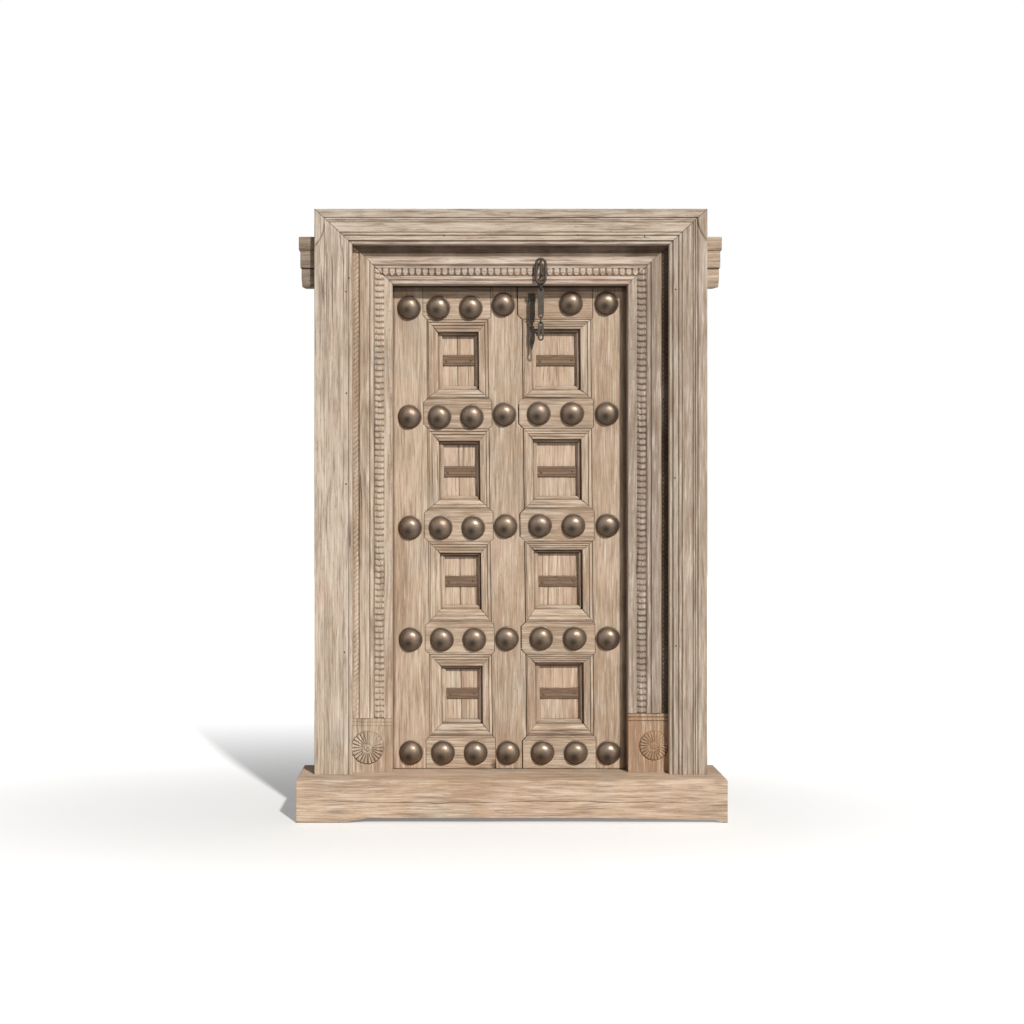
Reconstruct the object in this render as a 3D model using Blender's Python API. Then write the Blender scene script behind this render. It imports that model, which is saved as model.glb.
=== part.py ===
"""Haveli door: a carved teak frame with two studded leaves that swing on wooden pivots, and a door chain.

Metres, +Z up. The front faces -Y and the leaves open towards +Y. The origin is under the middle of the threshold.
"""

import math

import bmesh
import bpy
from mathutils import Vector

# ---- clearances
GAP = 0.0004  # between pieces that touch
PIVOT_CLEARANCE = 0.0005  # round a pivot in its socket
LINK_GAP = 0.0008  # between two linked irons of the chain
MEETING_GAP = 0.0025  # between the two leaves
LEAF_RUNNING_GAP = 0.002  # round the hanging edge and under the leaves
LINTEL_EXTRA_GAP = 0.0015  # over the leaves, besides the running gap

# ---- how pieces of one solid overlap while it is made
OVERLAP = 0.010  # of a cutter past a face, and of one part of a solid into the next
ROOT = 0.002  # of a carved piece into the wood behind it

# ---- threshold
THRESHOLD_OVERHANG = 0.143  # past the outer side of each jamb
THRESHOLD_HALF_DEPTH = 0.125
THRESHOLD_HEIGHT = 0.150
THRESHOLD_NOSING = 0.012
FOOT_RISE = 0.017
LEFT_FOOT_LENGTH = 0.153
RIGHT_FOOT_LENGTH = 0.043
END_CHAMFER_LENGTH = 0.024
END_CHAMFER_HEIGHT = 0.040

# ---- frame
OPENING_HALF_WIDTH = 0.4165
OPENING_TOP = 1.875
JAMB_WIDTH = 0.1835
FRAME_FRONT = -0.008
FRAME_BACK = 0.110
LIP_BACK = 0.044
FRONT_LAYER_BACK = 0.020
LINTEL_HEIGHT = 0.165  # from the top of the opening
TENON_SHARE = 0.46  # of the wood between the rebate and the outer side
TENON_FRONT = 0.035
TENON_BACK = 0.085
TENON_LENGTH = 0.040

# ---- horns of the lintel; heights of the bands are from the top of the opening
HORN_LENGTH = 0.147
HORN_DROP = 0.013
HORN_MIDDLE_TOP = 0.118
HORN_MIDDLE_STEP = 0.005
HORN_GROOVE_TOP = 0.056
HORN_GROOVE_STEP = 0.011
HORN_LOWER_TOP = 0.051
HORN_LOWER_STEP = 0.009
HORN_FACE_SHARE = 0.6  # how much of a band's step at the end is also cut off its face
HORN_TAPER_LENGTH = 0.014
HORN_TAPER_HEIGHT = 0.022

# ---- carved bands of the inner frame, as distances from the edge of the opening
BEAD_STRIP_START = 0.0295
BEAD_STRIP_END = 0.0615
BEAD_PITCH = 0.0205
BEAD_LENGTH = 0.0165
BEAD_RISE = 0.0055
BEAD_MARGIN = 0.0015
STRIP_DEPTH = 0.004
SHADOW_LINE_AT = 0.0635
ROUND_BAND_START = 0.081
ROUND_BAND_END = 0.116
ROUND_BAND_RISE = 0.0035
ROUND_BAND_EDGE = 0.001
SCROLL_LINE_AT = 0.1175
LINE_WIDTH = 0.0025
LINE_DEPTH = 0.003
DROP_STRIP_START = 0.027
DROP_STRIP_END = 0.055
DROP_PITCH = 0.0232
DROP_WIDTH = 0.0185
DROP_RISE = 0.005
DROP_MARGIN = 0.0015
HEAD_LINES_AT = (0.011, 0.061, 0.0665)

# ---- base blocks with their rosettes
LEFT_BLOCK_TOP = 0.341
RIGHT_BLOCK_TOP = 0.359
BLOCK_LINES = (0.0, 0.013, 0.026)
LEFT_ROSETTE = (0.0885, 0.238, 0.0485, 0.005)  # distance from the opening, height, radius and rise
RIGHT_ROSETTE = (0.0895, 0.244, 0.0455, 0.003)
ROSETTE_PETALS = 22

# ---- architrave
ARCHITRAVE_SIDE_OFFSET = 0.140  # from the edge of the opening to the moulding
ARCHITRAVE_HEAD_OFFSET = 0.134
ARCHITRAVE_WIDTH = 0.1315
ARCHITRAVE_HEAD_WIDTH = 0.1215
ARCHITRAVE_FRONT = -0.048
ARCHITRAVE_STEP = 0.006
ARCHITRAVE_LINE = 0.003
ARCHITRAVE_LINE_HALF_WIDTH = 0.0015
ARCHITRAVE_ROUNDING = 0.003
ARCHITRAVE_LINES_AT = (0.0303, 0.0425, 0.081, 0.0885, 0.097)
ARCHITRAVE_INNER_FILLET = 0.011

# ---- leaves
LEAF_LAP = 0.020  # behind the lintel's lip
LEAF_FRONT = 0.047
LEAF_BACK = 0.108
BOARD_THICKNESS = 0.028
PIVOT_INSET = 0.0205  # of the pivots behind the jambs, from the edge of the opening
PIVOT_RADIUS = 0.016
PIVOT_LENGTH = 0.040
HANGING_EDGE_WIDTH = 0.0167  # from the pivots to where the thick edge ends
LEFT_SEAM = -0.179
RIGHT_SEAM = 0.262
LEAN = 0.0110  # how far the leaves' uprights lean to the left, for each metre of height
LEAN_HEIGHT = 1.0  # height at which the sizes across the leaves are given
LEAN_FADE = 0.200  # distance from the pivots over which the lean fades out

# ---- uprights and rails on the boards
LEFT_STILE_WIDTH = 0.1298
RIGHT_STILE_WIDTH = 0.1253
POST_LEFT_EDGE = -0.070
MEETING_LINE = 0.0517
LEFT_HANGING_LET = 0.014
RIGHT_HANGING_LET = 0.0065
LEFT_MEETING_LET = 0.0105
RIGHT_MEETING_LET = 0.0165
BOTTOM_RAIL_WIDTH = 0.116
TOP_RAIL_WIDTH = 0.140
MIDDLE_RAIL_SPANS = ((0.560, 0.675), (0.962, 1.078), (1.366, 1.473))

# ---- panel mouldings, from the bottom row up
MOULDING_SET_BACK = 0.002
MOULDING_DIP = 0.006
LEDGE_DEPTH = 0.016
LEDGE_WIDTH = 0.017
LEDGE_HEIGHT = 0.012
FLAT_SHARE = 0.45
LEFT_HANGING_MEMBER = 0.057
LEFT_MEETING_MEMBER = 0.0573
RIGHT_MEETING_MEMBER = 0.048
RIGHT_HANGING_MEMBER = 0.065
LOWER_MEMBERS = (0.057, 0.059, 0.047, 0.046)
UPPER_MEMBERS = (0.053, 0.059, 0.067, 0.051)
STRAP_HEIGHT = 0.038
STRAP_THICKNESS = 0.005
STRAP_LIFT = 0.001

# ---- studs
STUD_RADIUS = 0.0435
STUD_RISE = 0.030
STUD_RIM = 0.006
STUD_SIDES = 14
STUD_SEAT = 0.002
TOP_STUD_HEIGHT = 0.057
LEFT_STUD_COLUMNS = (-0.2467, -0.1307)
RIGHT_STUD_COLUMNS = (0.1078, 0.2271)
LEFT_STILE_STUDS = 0.0813  # from the pivots
RIGHT_STILE_STUDS = 0.0885
POST_STUDS = -0.0147
LEFT_STUD_SAG = 0.0095  # how far a row of studs drops, for each metre of height
POST_STUD_SAG = 0.0025

# ---- door chain: the strand on the lintel staple, then the one on the leaf staple
CHAIN_X = 0.1060
CHAIN_Y = -0.026
STAPLE_RADIUS = 0.0045
STAPLE_LOWER_LEG_HEIGHT = 0.024  # from the top of the opening
STAPLE_SPREAD = 0.050
STAPLE_REACH = 0.0335
STAPLE_DRIVEN = 0.018
RING_RADIUS = 0.0045
RING_HALF_WIDTH = 0.0165
RING_LENGTH = 0.086
TWIST_RADIUS = 0.0032
TWIST_HALF_WIDTH = 0.0085
TWIST_LENGTH = 0.031
PLATE_THICKNESS = 0.0045
BAR_EYE_HOLE = 0.0055
BAR_EYE = 0.0105
BAR_HALF_WIDTH = 0.0113
BAR_LENGTH = 0.0905
EYE_SHOULDER = 0.003
LOWER_EYE_HOLE = 0.005
LOWER_EYE = 0.0095
CONNECTOR_RADIUS = 0.0025
CONNECTOR_HALF_WIDTH = 0.008
CONNECTOR_LENGTH = 0.0258
LOWER_LINK_LENGTH = 0.048
LOWER_LINK_HALF_WIDTH = 0.0105
LOWER_LINK_SLOT = 0.009
LOWER_LINK_SLOT_LENGTH = 0.028
LEAF_CHAIN_X = 0.0780
LEAF_CHAIN_Y = 0.030
LEAF_STAPLE_RADIUS = 0.0035
LEAF_STAPLE_DROP = 0.0717  # of the lower leg below the top of the leaf
LEAF_STAPLE_SPREAD = 0.0155
LEAF_STAPLE_REACH = 0.0245
LEAF_STAPLE_DRIVEN = 0.012
LEAF_PLATE_HALF_WIDTH = 0.013
LEAF_PLATE_MARGIN = 0.009
LEAF_PLATE_THICKNESS = 0.003
LEAF_LINK_LENGTH = 0.0723
TIP_LINK_LENGTH = 0.086
TIP_HALF_WIDTH = 0.0015

# ---- worked out from the sizes above
JAMB_OUTER = OPENING_HALF_WIDTH + JAMB_WIDTH
LINTEL_TOP = OPENING_TOP + LINTEL_HEIGHT
HORN_END = JAMB_OUTER + HORN_LENGTH
THRESHOLD_HALF_LENGTH = JAMB_OUTER + THRESHOLD_OVERHANG
ARCHITRAVE_INNER = OPENING_HALF_WIDTH + ARCHITRAVE_SIDE_OFFSET
ARCHITRAVE_HEAD_INNER = OPENING_TOP + ARCHITRAVE_HEAD_OFFSET
MITRE_SLOPE = ARCHITRAVE_SIDE_OFFSET / ARCHITRAVE_HEAD_OFFSET
LEAF_BOTTOM = THRESHOLD_HEIGHT + LEAF_RUNNING_GAP
LEAF_TOP = OPENING_TOP + LEAF_LAP
LINTEL_SEAT = LEAF_TOP + LEAF_RUNNING_GAP + LINTEL_EXTRA_GAP
PIVOT_X = OPENING_HALF_WIDTH + PIVOT_INSET
PIVOT_Y = (LEAF_FRONT + LEAF_BACK) / 2
HANGING_RADIUS = (LEAF_BACK - LEAF_FRONT) / 2
HANGING_EDGE_INNER = PIVOT_X - HANGING_EDGE_WIDTH
REBATE_INNER = PIVOT_X + HANGING_RADIUS + LEAF_RUNNING_GAP
TENON_MARGIN = (1 - TENON_SHARE) / 2 * (JAMB_OUTER - REBATE_INNER)
TENON_INNER = REBATE_INNER + TENON_MARGIN
TENON_OUTER = JAMB_OUTER - TENON_MARGIN
LEFT_STILE_EDGE = LEFT_STILE_WIDTH - HANGING_EDGE_INNER
RIGHT_STILE_EDGE = HANGING_EDGE_INNER - RIGHT_STILE_WIDTH
BOTTOM_RAIL_SPAN = (LEAF_BOTTOM, LEAF_BOTTOM + BOTTOM_RAIL_WIDTH)
TOP_RAIL_SPAN = (LEAF_TOP - TOP_RAIL_WIDTH, LEAF_TOP)
RAIL_SPANS = (BOTTOM_RAIL_SPAN, *MIDDLE_RAIL_SPANS, TOP_RAIL_SPAN)
STAPLE_LOWER_LEG = OPENING_TOP + STAPLE_LOWER_LEG_HEIGHT
STAPLE_UPPER_LEG = STAPLE_LOWER_LEG + STAPLE_SPREAD
LEAF_STAPLE_LOWER_LEG = LEAF_TOP - LEAF_STAPLE_DROP
BOARD_FRONT = LEAF_BACK - BOARD_THICKNESS
PLANTED_BACK = BOARD_FRONT - GAP
ARCHITRAVE_BACK = FRAME_FRONT - GAP
FAR = 5.0


# ---- shapes


def place(u, v, along, axis):
    """The point of an outline that stands square to an axis."""
    if axis == "X":
        return Vector((along, u, v))
    if axis == "Y":
        return Vector((u, along, v))
    return Vector((u, v, along))


def loft(rings, looped=False):
    """A closed solid through rings of points; looped joins the last ring to the first."""
    shape = bmesh.new()
    rows = [[shape.verts.new(point) for point in ring] for ring in rings]
    pairs = list(zip(rows, rows[1:]))
    if looped:
        pairs.append((rows[-1], rows[0]))
    else:
        shape.faces.new(rows[0])
        shape.faces.new(rows[-1])
    count = len(rows[0])
    for lower, upper in pairs:
        for k in range(count):
            n = (k + 1) % count
            shape.faces.new((lower[k], lower[n], upper[n], upper[k]))
    bmesh.ops.recalc_face_normals(shape, faces=shape.faces)
    return shape


def prism(outline, low, high, axis):
    """The outline drawn out along an axis."""
    return loft([[place(u, v, along, axis) for u, v in outline] for along in (low, high)])


def box(low, high):
    """A block between two opposite corners."""
    outline = [(low[0], low[1]), (high[0], low[1]), (high[0], high[1]), (low[0], high[1])]
    return prism(outline, low[2], high[2], "Z")


def rectangle(left, right, low, high):
    """The outline of an upright rectangle."""
    return [(left, low), (right, low), (right, high), (left, high)]


def arc(centre, radius, start, end, steps):
    """Points of an arc, with its angles in degrees."""
    angles = [math.radians(start + (end - start) * k / steps) for k in range(steps + 1)]
    return [(centre[0] + radius * math.cos(a), centre[1] + radius * math.sin(a)) for a in angles]


def cylinder(centre, radius, low, high, axis, sides=24):
    """A round bar; the centre is given across the axis."""
    return prism(arc(centre, radius, 0, 360 - 360 / sides, sides - 1), low, high, axis)


def bore(centre, radius, low, high, axis, sides=24):
    """A round cutter whose flats touch the wanted radius."""
    return cylinder(centre, radius / math.cos(math.pi / sides), low, high, axis, sides)


def gather(shapes):
    """Several shapes that don't touch, as one mesh."""
    whole = bmesh.new()
    for shape in shapes:
        mesh = bpy.data.meshes.new("gathered")
        shape.to_mesh(mesh)
        shape.free()
        whole.from_mesh(mesh)
        bpy.data.meshes.remove(mesh)
    return whole


def wire(path, flats, radius, sides, closed):
    """Round iron along a path; flats are the directions square to its bends."""
    last = len(path) - 1
    rings = []
    for k, point in enumerate(path):
        before = path[k - 1] if closed or k > 0 else point
        after = path[(k + 1) % len(path)] if closed or k < last else point
        along = (after - before).normalized()
        out = flats[k].cross(along).normalized()
        side = along.cross(out)
        angles = [2 * math.pi * n / sides for n in range(sides)]
        rings.append([point + radius * (math.cos(a) * out + math.sin(a) * side) for a in angles])
    return loft(rings, closed)


# ---- objects


def material(name, colour, roughness, metallic):
    """A Principled material of one plain colour."""
    made = bpy.data.materials.new(name)
    made.use_nodes = True
    shader = made.node_tree.nodes["Principled BSDF"]
    shader.inputs["Base Color"].default_value = (*colour, 1.0)
    shader.inputs["Roughness"].default_value = roughness
    shader.inputs["Metallic"].default_value = metallic
    made.diffuse_color = (*colour, 1.0)
    return made


def mesh_from(shape, name):
    """The shape as a mesh of its own."""
    mesh = bpy.data.meshes.new(name)
    shape.to_mesh(mesh)
    shape.free()
    return mesh


def worked(mesh, steps):
    """The mesh after each Boolean step, given as pairs of an operation and a shape."""
    body = bpy.data.objects.new("body", mesh)
    bpy.context.scene.collection.objects.link(body)
    tools = []
    for operation, shape in steps:
        tool = bpy.data.objects.new("tool", mesh_from(shape, "tool"))
        bpy.context.scene.collection.objects.link(tool)
        modifier = body.modifiers.new(operation, "BOOLEAN")
        modifier.operation = operation
        modifier.object = tool
        tools.append(tool)
    graph = bpy.context.evaluated_depsgraph_get()
    result = bpy.data.meshes.new_from_object(body.evaluated_get(graph))
    for used in (body, *tools):
        bpy.data.objects.remove(used)
    return result


def node(name, shape, finish, add=(), cut=(), origin=(0, 0, 0), parent=None, smooth=30):
    """One named piece: the shape with the added shapes joined to it and the cutters taken from it."""
    steps = [("UNION", tool) for tool in add] + [("DIFFERENCE", tool) for tool in cut]
    mesh = mesh_from(shape, name)
    if steps:
        mesh = worked(mesh, steps)
    mesh.name = name
    for vertex in mesh.vertices:
        vertex.co -= Vector(origin)
    mesh.materials.clear()
    mesh.materials.append(finish)
    mesh.shade_smooth()
    mesh.set_sharp_from_angle(angle=math.radians(smooth))
    piece = bpy.data.objects.new(name, mesh)
    bpy.context.scene.collection.objects.link(piece)
    piece.location = Vector(origin)
    if parent:
        piece.parent = parent
        piece.location = Vector(origin) - parent.matrix_world.translation
    bpy.context.view_layer.update()
    return piece


def axis_empty(name, location):
    """An empty on a joint's axis, which carries the pieces that turn about it."""
    empty = bpy.data.objects.new(name, None)
    empty.location = location
    bpy.context.scene.collection.objects.link(empty)
    bpy.context.view_layer.update()
    return empty


# ---- frame


def mitre_x(z):
    """Half-width at which the mitre of the inner frame stands at height z."""
    return OPENING_HALF_WIDTH + (z - OPENING_TOP) * MITRE_SLOPE


def beyond_mitre(low, high, outer, room=0.0):
    """The outline from the mitre out to a side, from one height up to another or to where the two meet."""
    meeting = OPENING_TOP + (outer + room - OPENING_HALF_WIDTH) / MITRE_SLOPE
    start = [(mitre_x(low) - room, low), (outer, low)]
    if meeting <= high:
        return [*start, (outer, meeting)]
    return [*start, (outer, high), (mitre_x(high) - room, high)]


def sided(outline, side):
    """An outline drawn for the right side, turned to the side asked for."""
    return [(side * u, v) for u, v in outline]


def pivot_socket(side, low, high):
    """The hole that a leaf's pivot turns in."""
    return bore((side * PIVOT_X, PIVOT_Y), PIVOT_RADIUS + PIVOT_CLEARANCE, low, high, "Z")


def mortise(side, low, high):
    """The slot that a jamb's tenon fits."""
    plan = rectangle(TENON_INNER - GAP, TENON_OUTER + GAP, TENON_FRONT - GAP, TENON_BACK + GAP)
    return prism(sided(plan, side), low, high, "Z")


def build_threshold(wood):
    """The heavy sill on its two feet, with a worn front edge and cut-down ends."""
    r = THRESHOLD_NOSING
    d = THRESHOLD_HALF_DEPTH
    nosing = arc((-d + r, THRESHOLD_HEIGHT - r), r, 90, 180, 4)
    section = [(-d, 0), (d, 0), (d, THRESHOLD_HEIGHT), *nosing]
    body = prism(section, -THRESHOLD_HALF_LENGTH, THRESHOLD_HALF_LENGTH, "X")
    left = -THRESHOLD_HALF_LENGTH + LEFT_FOOT_LENGTH
    right = THRESHOLD_HALF_LENGTH - RIGHT_FOOT_LENGTH
    cuts = [box((left, -FAR, -FAR), (right, FAR, FOOT_RISE))]
    for side in (-1, 1):
        end = THRESHOLD_HALF_LENGTH
        over = OVERLAP
        slope = END_CHAMFER_HEIGHT / END_CHAMFER_LENGTH
        corner = [
            (end - END_CHAMFER_LENGTH - over, THRESHOLD_HEIGHT + over * slope),
            (end + over, THRESHOLD_HEIGHT - END_CHAMFER_HEIGHT - over * slope),
            (end + over, THRESHOLD_HEIGHT + over * slope),
        ]
        cuts.append(prism(sided(corner, side), -FAR, FAR, "Y"))
        cuts.append(mortise(side, THRESHOLD_HEIGHT - TENON_LENGTH - 2 * GAP, FAR))
        cuts.append(pivot_socket(side, LEAF_BOTTOM - PIVOT_LENGTH - GAP, FAR))
    node("threshold", body, wood, cut=cuts)


def horn_cut(side, step, low, high):
    """Sets one band of a horn back from its end and its face; low and high are from the opening's top."""
    end = HORN_END - step
    face = FRAME_FRONT + HORN_FACE_SHARE * step
    plan = [
        (JAMB_OUTER + GAP, -FAR), (FAR, -FAR), (FAR, FAR),
        (end, FAR), (end, face), (JAMB_OUTER + GAP, face),
    ]
    return prism(sided(plan, side), OPENING_TOP + low, OPENING_TOP + high, "Z")


def leaf_drops():
    """The row of small hanging leaves along the head of the opening."""
    low = OPENING_TOP + DROP_STRIP_START
    high = OPENING_TOP + DROP_STRIP_END
    reach = mitre_x(low) - DROP_WIDTH
    count = int(2 * reach / DROP_PITCH)
    shapes = []
    margin = DROP_MARGIN
    for k in range(count + 1):
        x = (k - count / 2) * DROP_PITCH
        half = DROP_WIDTH / 2
        outline = [
            (x, low + margin), (x + half, low + 0.45 * (high - low)), (x + 0.8 * half, high - margin),
            (x - 0.8 * half, high - margin), (x - half, low + 0.45 * (high - low)),
        ]
        floor = FRAME_FRONT + STRIP_DEPTH
        shapes.append(prism(outline, floor - DROP_RISE, floor + ROOT, "Y"))
    return gather(shapes)


def head_band(start, end, front, back):
    """A cutter along the head between two distances from the opening."""
    low, high = OPENING_TOP + start, OPENING_TOP + end
    return box((-JAMB_OUTER, front, low), (JAMB_OUTER, back, high))


def build_lintel(wood):
    """The head beam with its horns, mitred on its face to the jambs."""
    bottom = OPENING_TOP - HORN_DROP
    below = bottom - OVERLAP
    body = box((-HORN_END, FRAME_FRONT, bottom), (HORN_END, FRAME_BACK, LINTEL_TOP))
    shoulder = JAMB_OUTER + GAP
    floor = FRAME_FRONT + STRIP_DEPTH
    cuts = [
        box((-shoulder, -FAR, below), (shoulder, FAR, OPENING_TOP)),
        box((-shoulder, LIP_BACK, below), (shoulder, FAR, LINTEL_SEAT)),
        head_band(DROP_STRIP_START, DROP_STRIP_END, -FAR, floor),
    ]
    for line in HEAD_LINES_AT:
        cuts.append(head_band(line, line + LINE_WIDTH, -FAR, FRAME_FRONT + LINE_DEPTH))
    for side in (-1, 1):
        low = OPENING_TOP - OVERLAP
        face = beyond_mitre(low, LINTEL_TOP + OVERLAP, shoulder, GAP)
        lip = beyond_mitre(low, LINTEL_SEAT, shoulder, GAP)
        cuts.append(prism(sided(face, side), -FAR, FRONT_LAYER_BACK + GAP, "Y"))
        cuts.append(prism(sided(lip, side), -FAR, LIP_BACK + OVERLAP, "Y"))
        cuts.append(horn_cut(side, HORN_MIDDLE_STEP, HORN_GROOVE_TOP, HORN_MIDDLE_TOP))
        cuts.append(horn_cut(side, HORN_GROOVE_STEP, HORN_LOWER_TOP, HORN_GROOVE_TOP))
        cuts.append(horn_cut(side, HORN_LOWER_STEP, -HORN_DROP - OVERLAP, HORN_LOWER_TOP))
        end = HORN_END - HORN_LOWER_STEP
        over = OVERLAP
        slope = HORN_TAPER_HEIGHT / HORN_TAPER_LENGTH
        taper = [
            (end - HORN_TAPER_LENGTH - over, bottom - over * slope),
            (end + over, bottom - over * slope),
            (end + over, bottom + HORN_TAPER_HEIGHT + over * slope),
        ]
        cuts.append(prism(sided(taper, side), -FAR, FAR, "Y"))
        cuts.append(mortise(side, below, LINTEL_SEAT + TENON_LENGTH + GAP))
        cuts.append(pivot_socket(side, below, LEAF_TOP + PIVOT_LENGTH + GAP))
    carved = worked(mesh_from(body, "lintel"), [("DIFFERENCE", tool) for tool in cuts])
    shape = bmesh.new()
    shape.from_mesh(carved)
    depth = FRAME_FRONT + STAPLE_DRIVEN + GAP
    holes = [
        bore((CHAIN_X, leg), STAPLE_RADIUS + GAP, -FAR, depth, "Y", 8)
        for leg in (STAPLE_UPPER_LEG, STAPLE_LOWER_LEG)
    ]
    node("lintel_beam", shape, wood, add=[leaf_drops()], cut=holes)


def bead_row(side, low, high):
    """The row of worn reels down a jamb, each a low block with sloping ends."""
    inner = OPENING_HALF_WIDTH + BEAD_STRIP_START + BEAD_MARGIN
    outer = OPENING_HALF_WIDTH + BEAD_STRIP_END - BEAD_MARGIN
    floor = FRAME_FRONT + STRIP_DEPTH
    count = int((high - low) / BEAD_PITCH)
    shapes = []
    for k in range(count):
        z = low + (k + 0.5) * BEAD_PITCH
        half = BEAD_LENGTH / 2
        section = [
            (floor + ROOT, z - half), (floor + ROOT, z + half),
            (floor - BEAD_RISE, z + 0.45 * half), (floor - BEAD_RISE, z - 0.45 * half),
        ]
        ends = sorted((side * inner, side * outer))
        shapes.append(prism(section, ends[0], ends[1], "X"))
    return gather(shapes)


def rosette(spot, side):
    """A flower of straight petals about a boss, cut in low relief."""
    offset, z, radius, rise = spot
    x = side * (OPENING_HALF_WIDTH + offset)
    steps = 2 * ROSETTE_PETALS
    face = FRAME_FRONT
    rows = ((1.0, 0.0, 0.0), (0.94, 0.75, 0.25), (0.40, 0.9, 0.3), (0.34, 0.1, 0.1), (0.24, 0.9, 0.9))
    rings = [[Vector((x + radius * math.cos(2 * math.pi * k / steps), face + ROOT,
                      z + radius * math.sin(2 * math.pi * k / steps))) for k in range(steps)]]
    for share, crest, valley in rows:
        ring = []
        for k in range(steps):
            angle = 2 * math.pi * k / steps
            height = rise * (crest if k % 2 == 0 else valley)
            ring.append(Vector((x + share * radius * math.cos(angle), face - height,
                                z + share * radius * math.sin(angle))))
        rings.append(ring)
    return loft(rings)


def jamb_line(side, at, low, width=LINE_WIDTH, depth=LINE_DEPTH):
    """A cutter for a straight line or strip up a jamb."""
    inner = OPENING_HALF_WIDTH + at
    ends = sorted((side * inner, side * (inner + width)))
    return box((ends[0], -FAR, low), (ends[1], FRAME_FRONT + depth, FAR))


def build_jamb(name, side, block_top, spot, wood):
    """A rebated upright: tenons at both ends, carved bands on its face and a rosette block at its foot."""
    foot = THRESHOLD_HEIGHT + GAP
    seat = LINTEL_SEAT - GAP
    corner, _, *head = beyond_mitre(OPENING_TOP, LINTEL_TOP, JAMB_OUTER)
    section = [(OPENING_HALF_WIDTH, foot), (JAMB_OUTER, foot), *head, corner]
    body = prism(sided(section, side), FRAME_FRONT, FRAME_BACK, "Y")
    rebate = sorted((side * (OPENING_HALF_WIDTH - OVERLAP), side * REBATE_INNER))
    cuts = [
        box((-FAR, FRONT_LAYER_BACK, seat), (FAR, FAR, FAR)),
        box((rebate[0], LIP_BACK, 0), (rebate[1], FAR, FAR)),
        jamb_line(side, BEAD_STRIP_START, block_top, BEAD_STRIP_END - BEAD_STRIP_START, STRIP_DEPTH),
        jamb_line(side, SHADOW_LINE_AT, block_top),
        jamb_line(side, ROUND_BAND_START - LINE_WIDTH, block_top),
        jamb_line(side, SCROLL_LINE_AT, block_top),
    ]
    for drop in BLOCK_LINES:
        edge = sorted((side * (OPENING_HALF_WIDTH - OVERLAP), side * ARCHITRAVE_INNER))
        top = block_top - drop
        cuts.append(box((edge[0], -FAR, top - LINE_WIDTH), (edge[1], FRAME_FRONT + LINE_DEPTH, top)))
    plain = worked(mesh_from(body, "jamb"), [("DIFFERENCE", tool) for tool in cuts])
    plan = rectangle(TENON_INNER, TENON_OUTER, TENON_FRONT, TENON_BACK)
    tenons = [
        prism(sided(plan, side), foot - TENON_LENGTH, foot + OVERLAP, "Z"),
        prism(sided(plan, side), seat - OVERLAP, seat + TENON_LENGTH, "Z"),
    ]
    inner = OPENING_HALF_WIDTH + ROUND_BAND_START
    outer = OPENING_HALF_WIDTH + ROUND_BAND_END
    middle = (inner + outer) / 2
    crown = FRAME_FRONT - ROUND_BAND_RISE
    base, edge = FRAME_FRONT + ROUND_BAND_EDGE, crown + ROUND_BAND_EDGE
    band = [
        (inner, base), (0.7 * inner + 0.3 * middle, edge), (middle, crown),
        (0.7 * outer + 0.3 * middle, edge), (outer, base),
    ]
    band_top = OPENING_TOP + ROUND_BAND_START * 0.9
    rows_top = OPENING_TOP + BEAD_STRIP_START * 0.9
    adds = [
        *tenons,
        prism(sided(band, side), block_top + GAP, band_top, "Z"),
        bead_row(side, block_top, rows_top),
        rosette(spot, side),
    ]
    shape = bmesh.new()
    shape.from_mesh(plain)
    node(name, shape, wood, add=adds)


def architrave_face(width):
    """The moulding's section from its inner edge out: pairs of distance and depth."""
    back, front = ARCHITRAVE_BACK, ARCHITRAVE_FRONT
    half, rounding = ARCHITRAVE_LINE_HALF_WIDTH, ARCHITRAVE_ROUNDING
    section = [(0.0, back), (0.0, front + ARCHITRAVE_STEP),
               (ARCHITRAVE_INNER_FILLET, front + ARCHITRAVE_STEP),
               (ARCHITRAVE_INNER_FILLET + half, front)]
    for line in ARCHITRAVE_LINES_AT:
        section += [(line - half, front), (line, front + ARCHITRAVE_LINE), (line + half, front)]
    section += [(width - rounding, front), (width, front + rounding), (width, back)]
    return section


def build_architrave(wood):
    """Three lengths of one moulding, mitred at the two upper corners."""
    foot = THRESHOLD_HEIGHT + GAP
    inner, head = ARCHITRAVE_INNER, ARCHITRAVE_HEAD_INNER
    crown = head + ARCHITRAVE_HEAD_WIDTH
    section = architrave_face(ARCHITRAVE_WIDTH)
    for name, side in (("architrave_left", -1), ("architrave_right", 1)):
        low = [Vector((side * (inner + u), y, foot)) for u, y in section]
        high = [Vector((side * (inner + u), y, head + u - GAP)) for u, y in section]
        top = box((-FAR, -FAR, crown), (FAR, FAR, FAR))
        node(name, loft([low, high]), wood, cut=[top])
    section = architrave_face(ARCHITRAVE_HEAD_WIDTH)
    left = [Vector((-inner - u, y, head + u)) for u, y in section]
    right = [Vector((inner + u, y, head + u)) for u, y in section]
    node("architrave_head", loft([left, right]), wood)


# ---- leaves


def lean(outline):
    """An outline on a leaf with its points moved by the lean of the uprights at their height."""
    moved = []
    for x, z in outline:
        share = min(1.0, max(0.0, (PIVOT_X - abs(x)) / LEAN_FADE))
        moved.append((x - LEAN * share * (z - LEAN_HEIGHT), z))
    return moved


def let_in_edge(edge, let, room=0.0):
    """An upright edge from the bottom up, let in at each rail by its cut corners."""
    points = []
    depth = abs(let)
    for low, high in RAIL_SPANS:
        deep = edge + let + math.copysign(room, let)
        if low > LEAF_BOTTOM:
            points += [(edge, low - room), (deep, low + depth)]
        else:
            points += [(deep, low)]
        if high < LEAF_TOP:
            points += [(deep, high - depth), (edge, high + room)]
        else:
            points += [(deep, high)]
    return points


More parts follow.
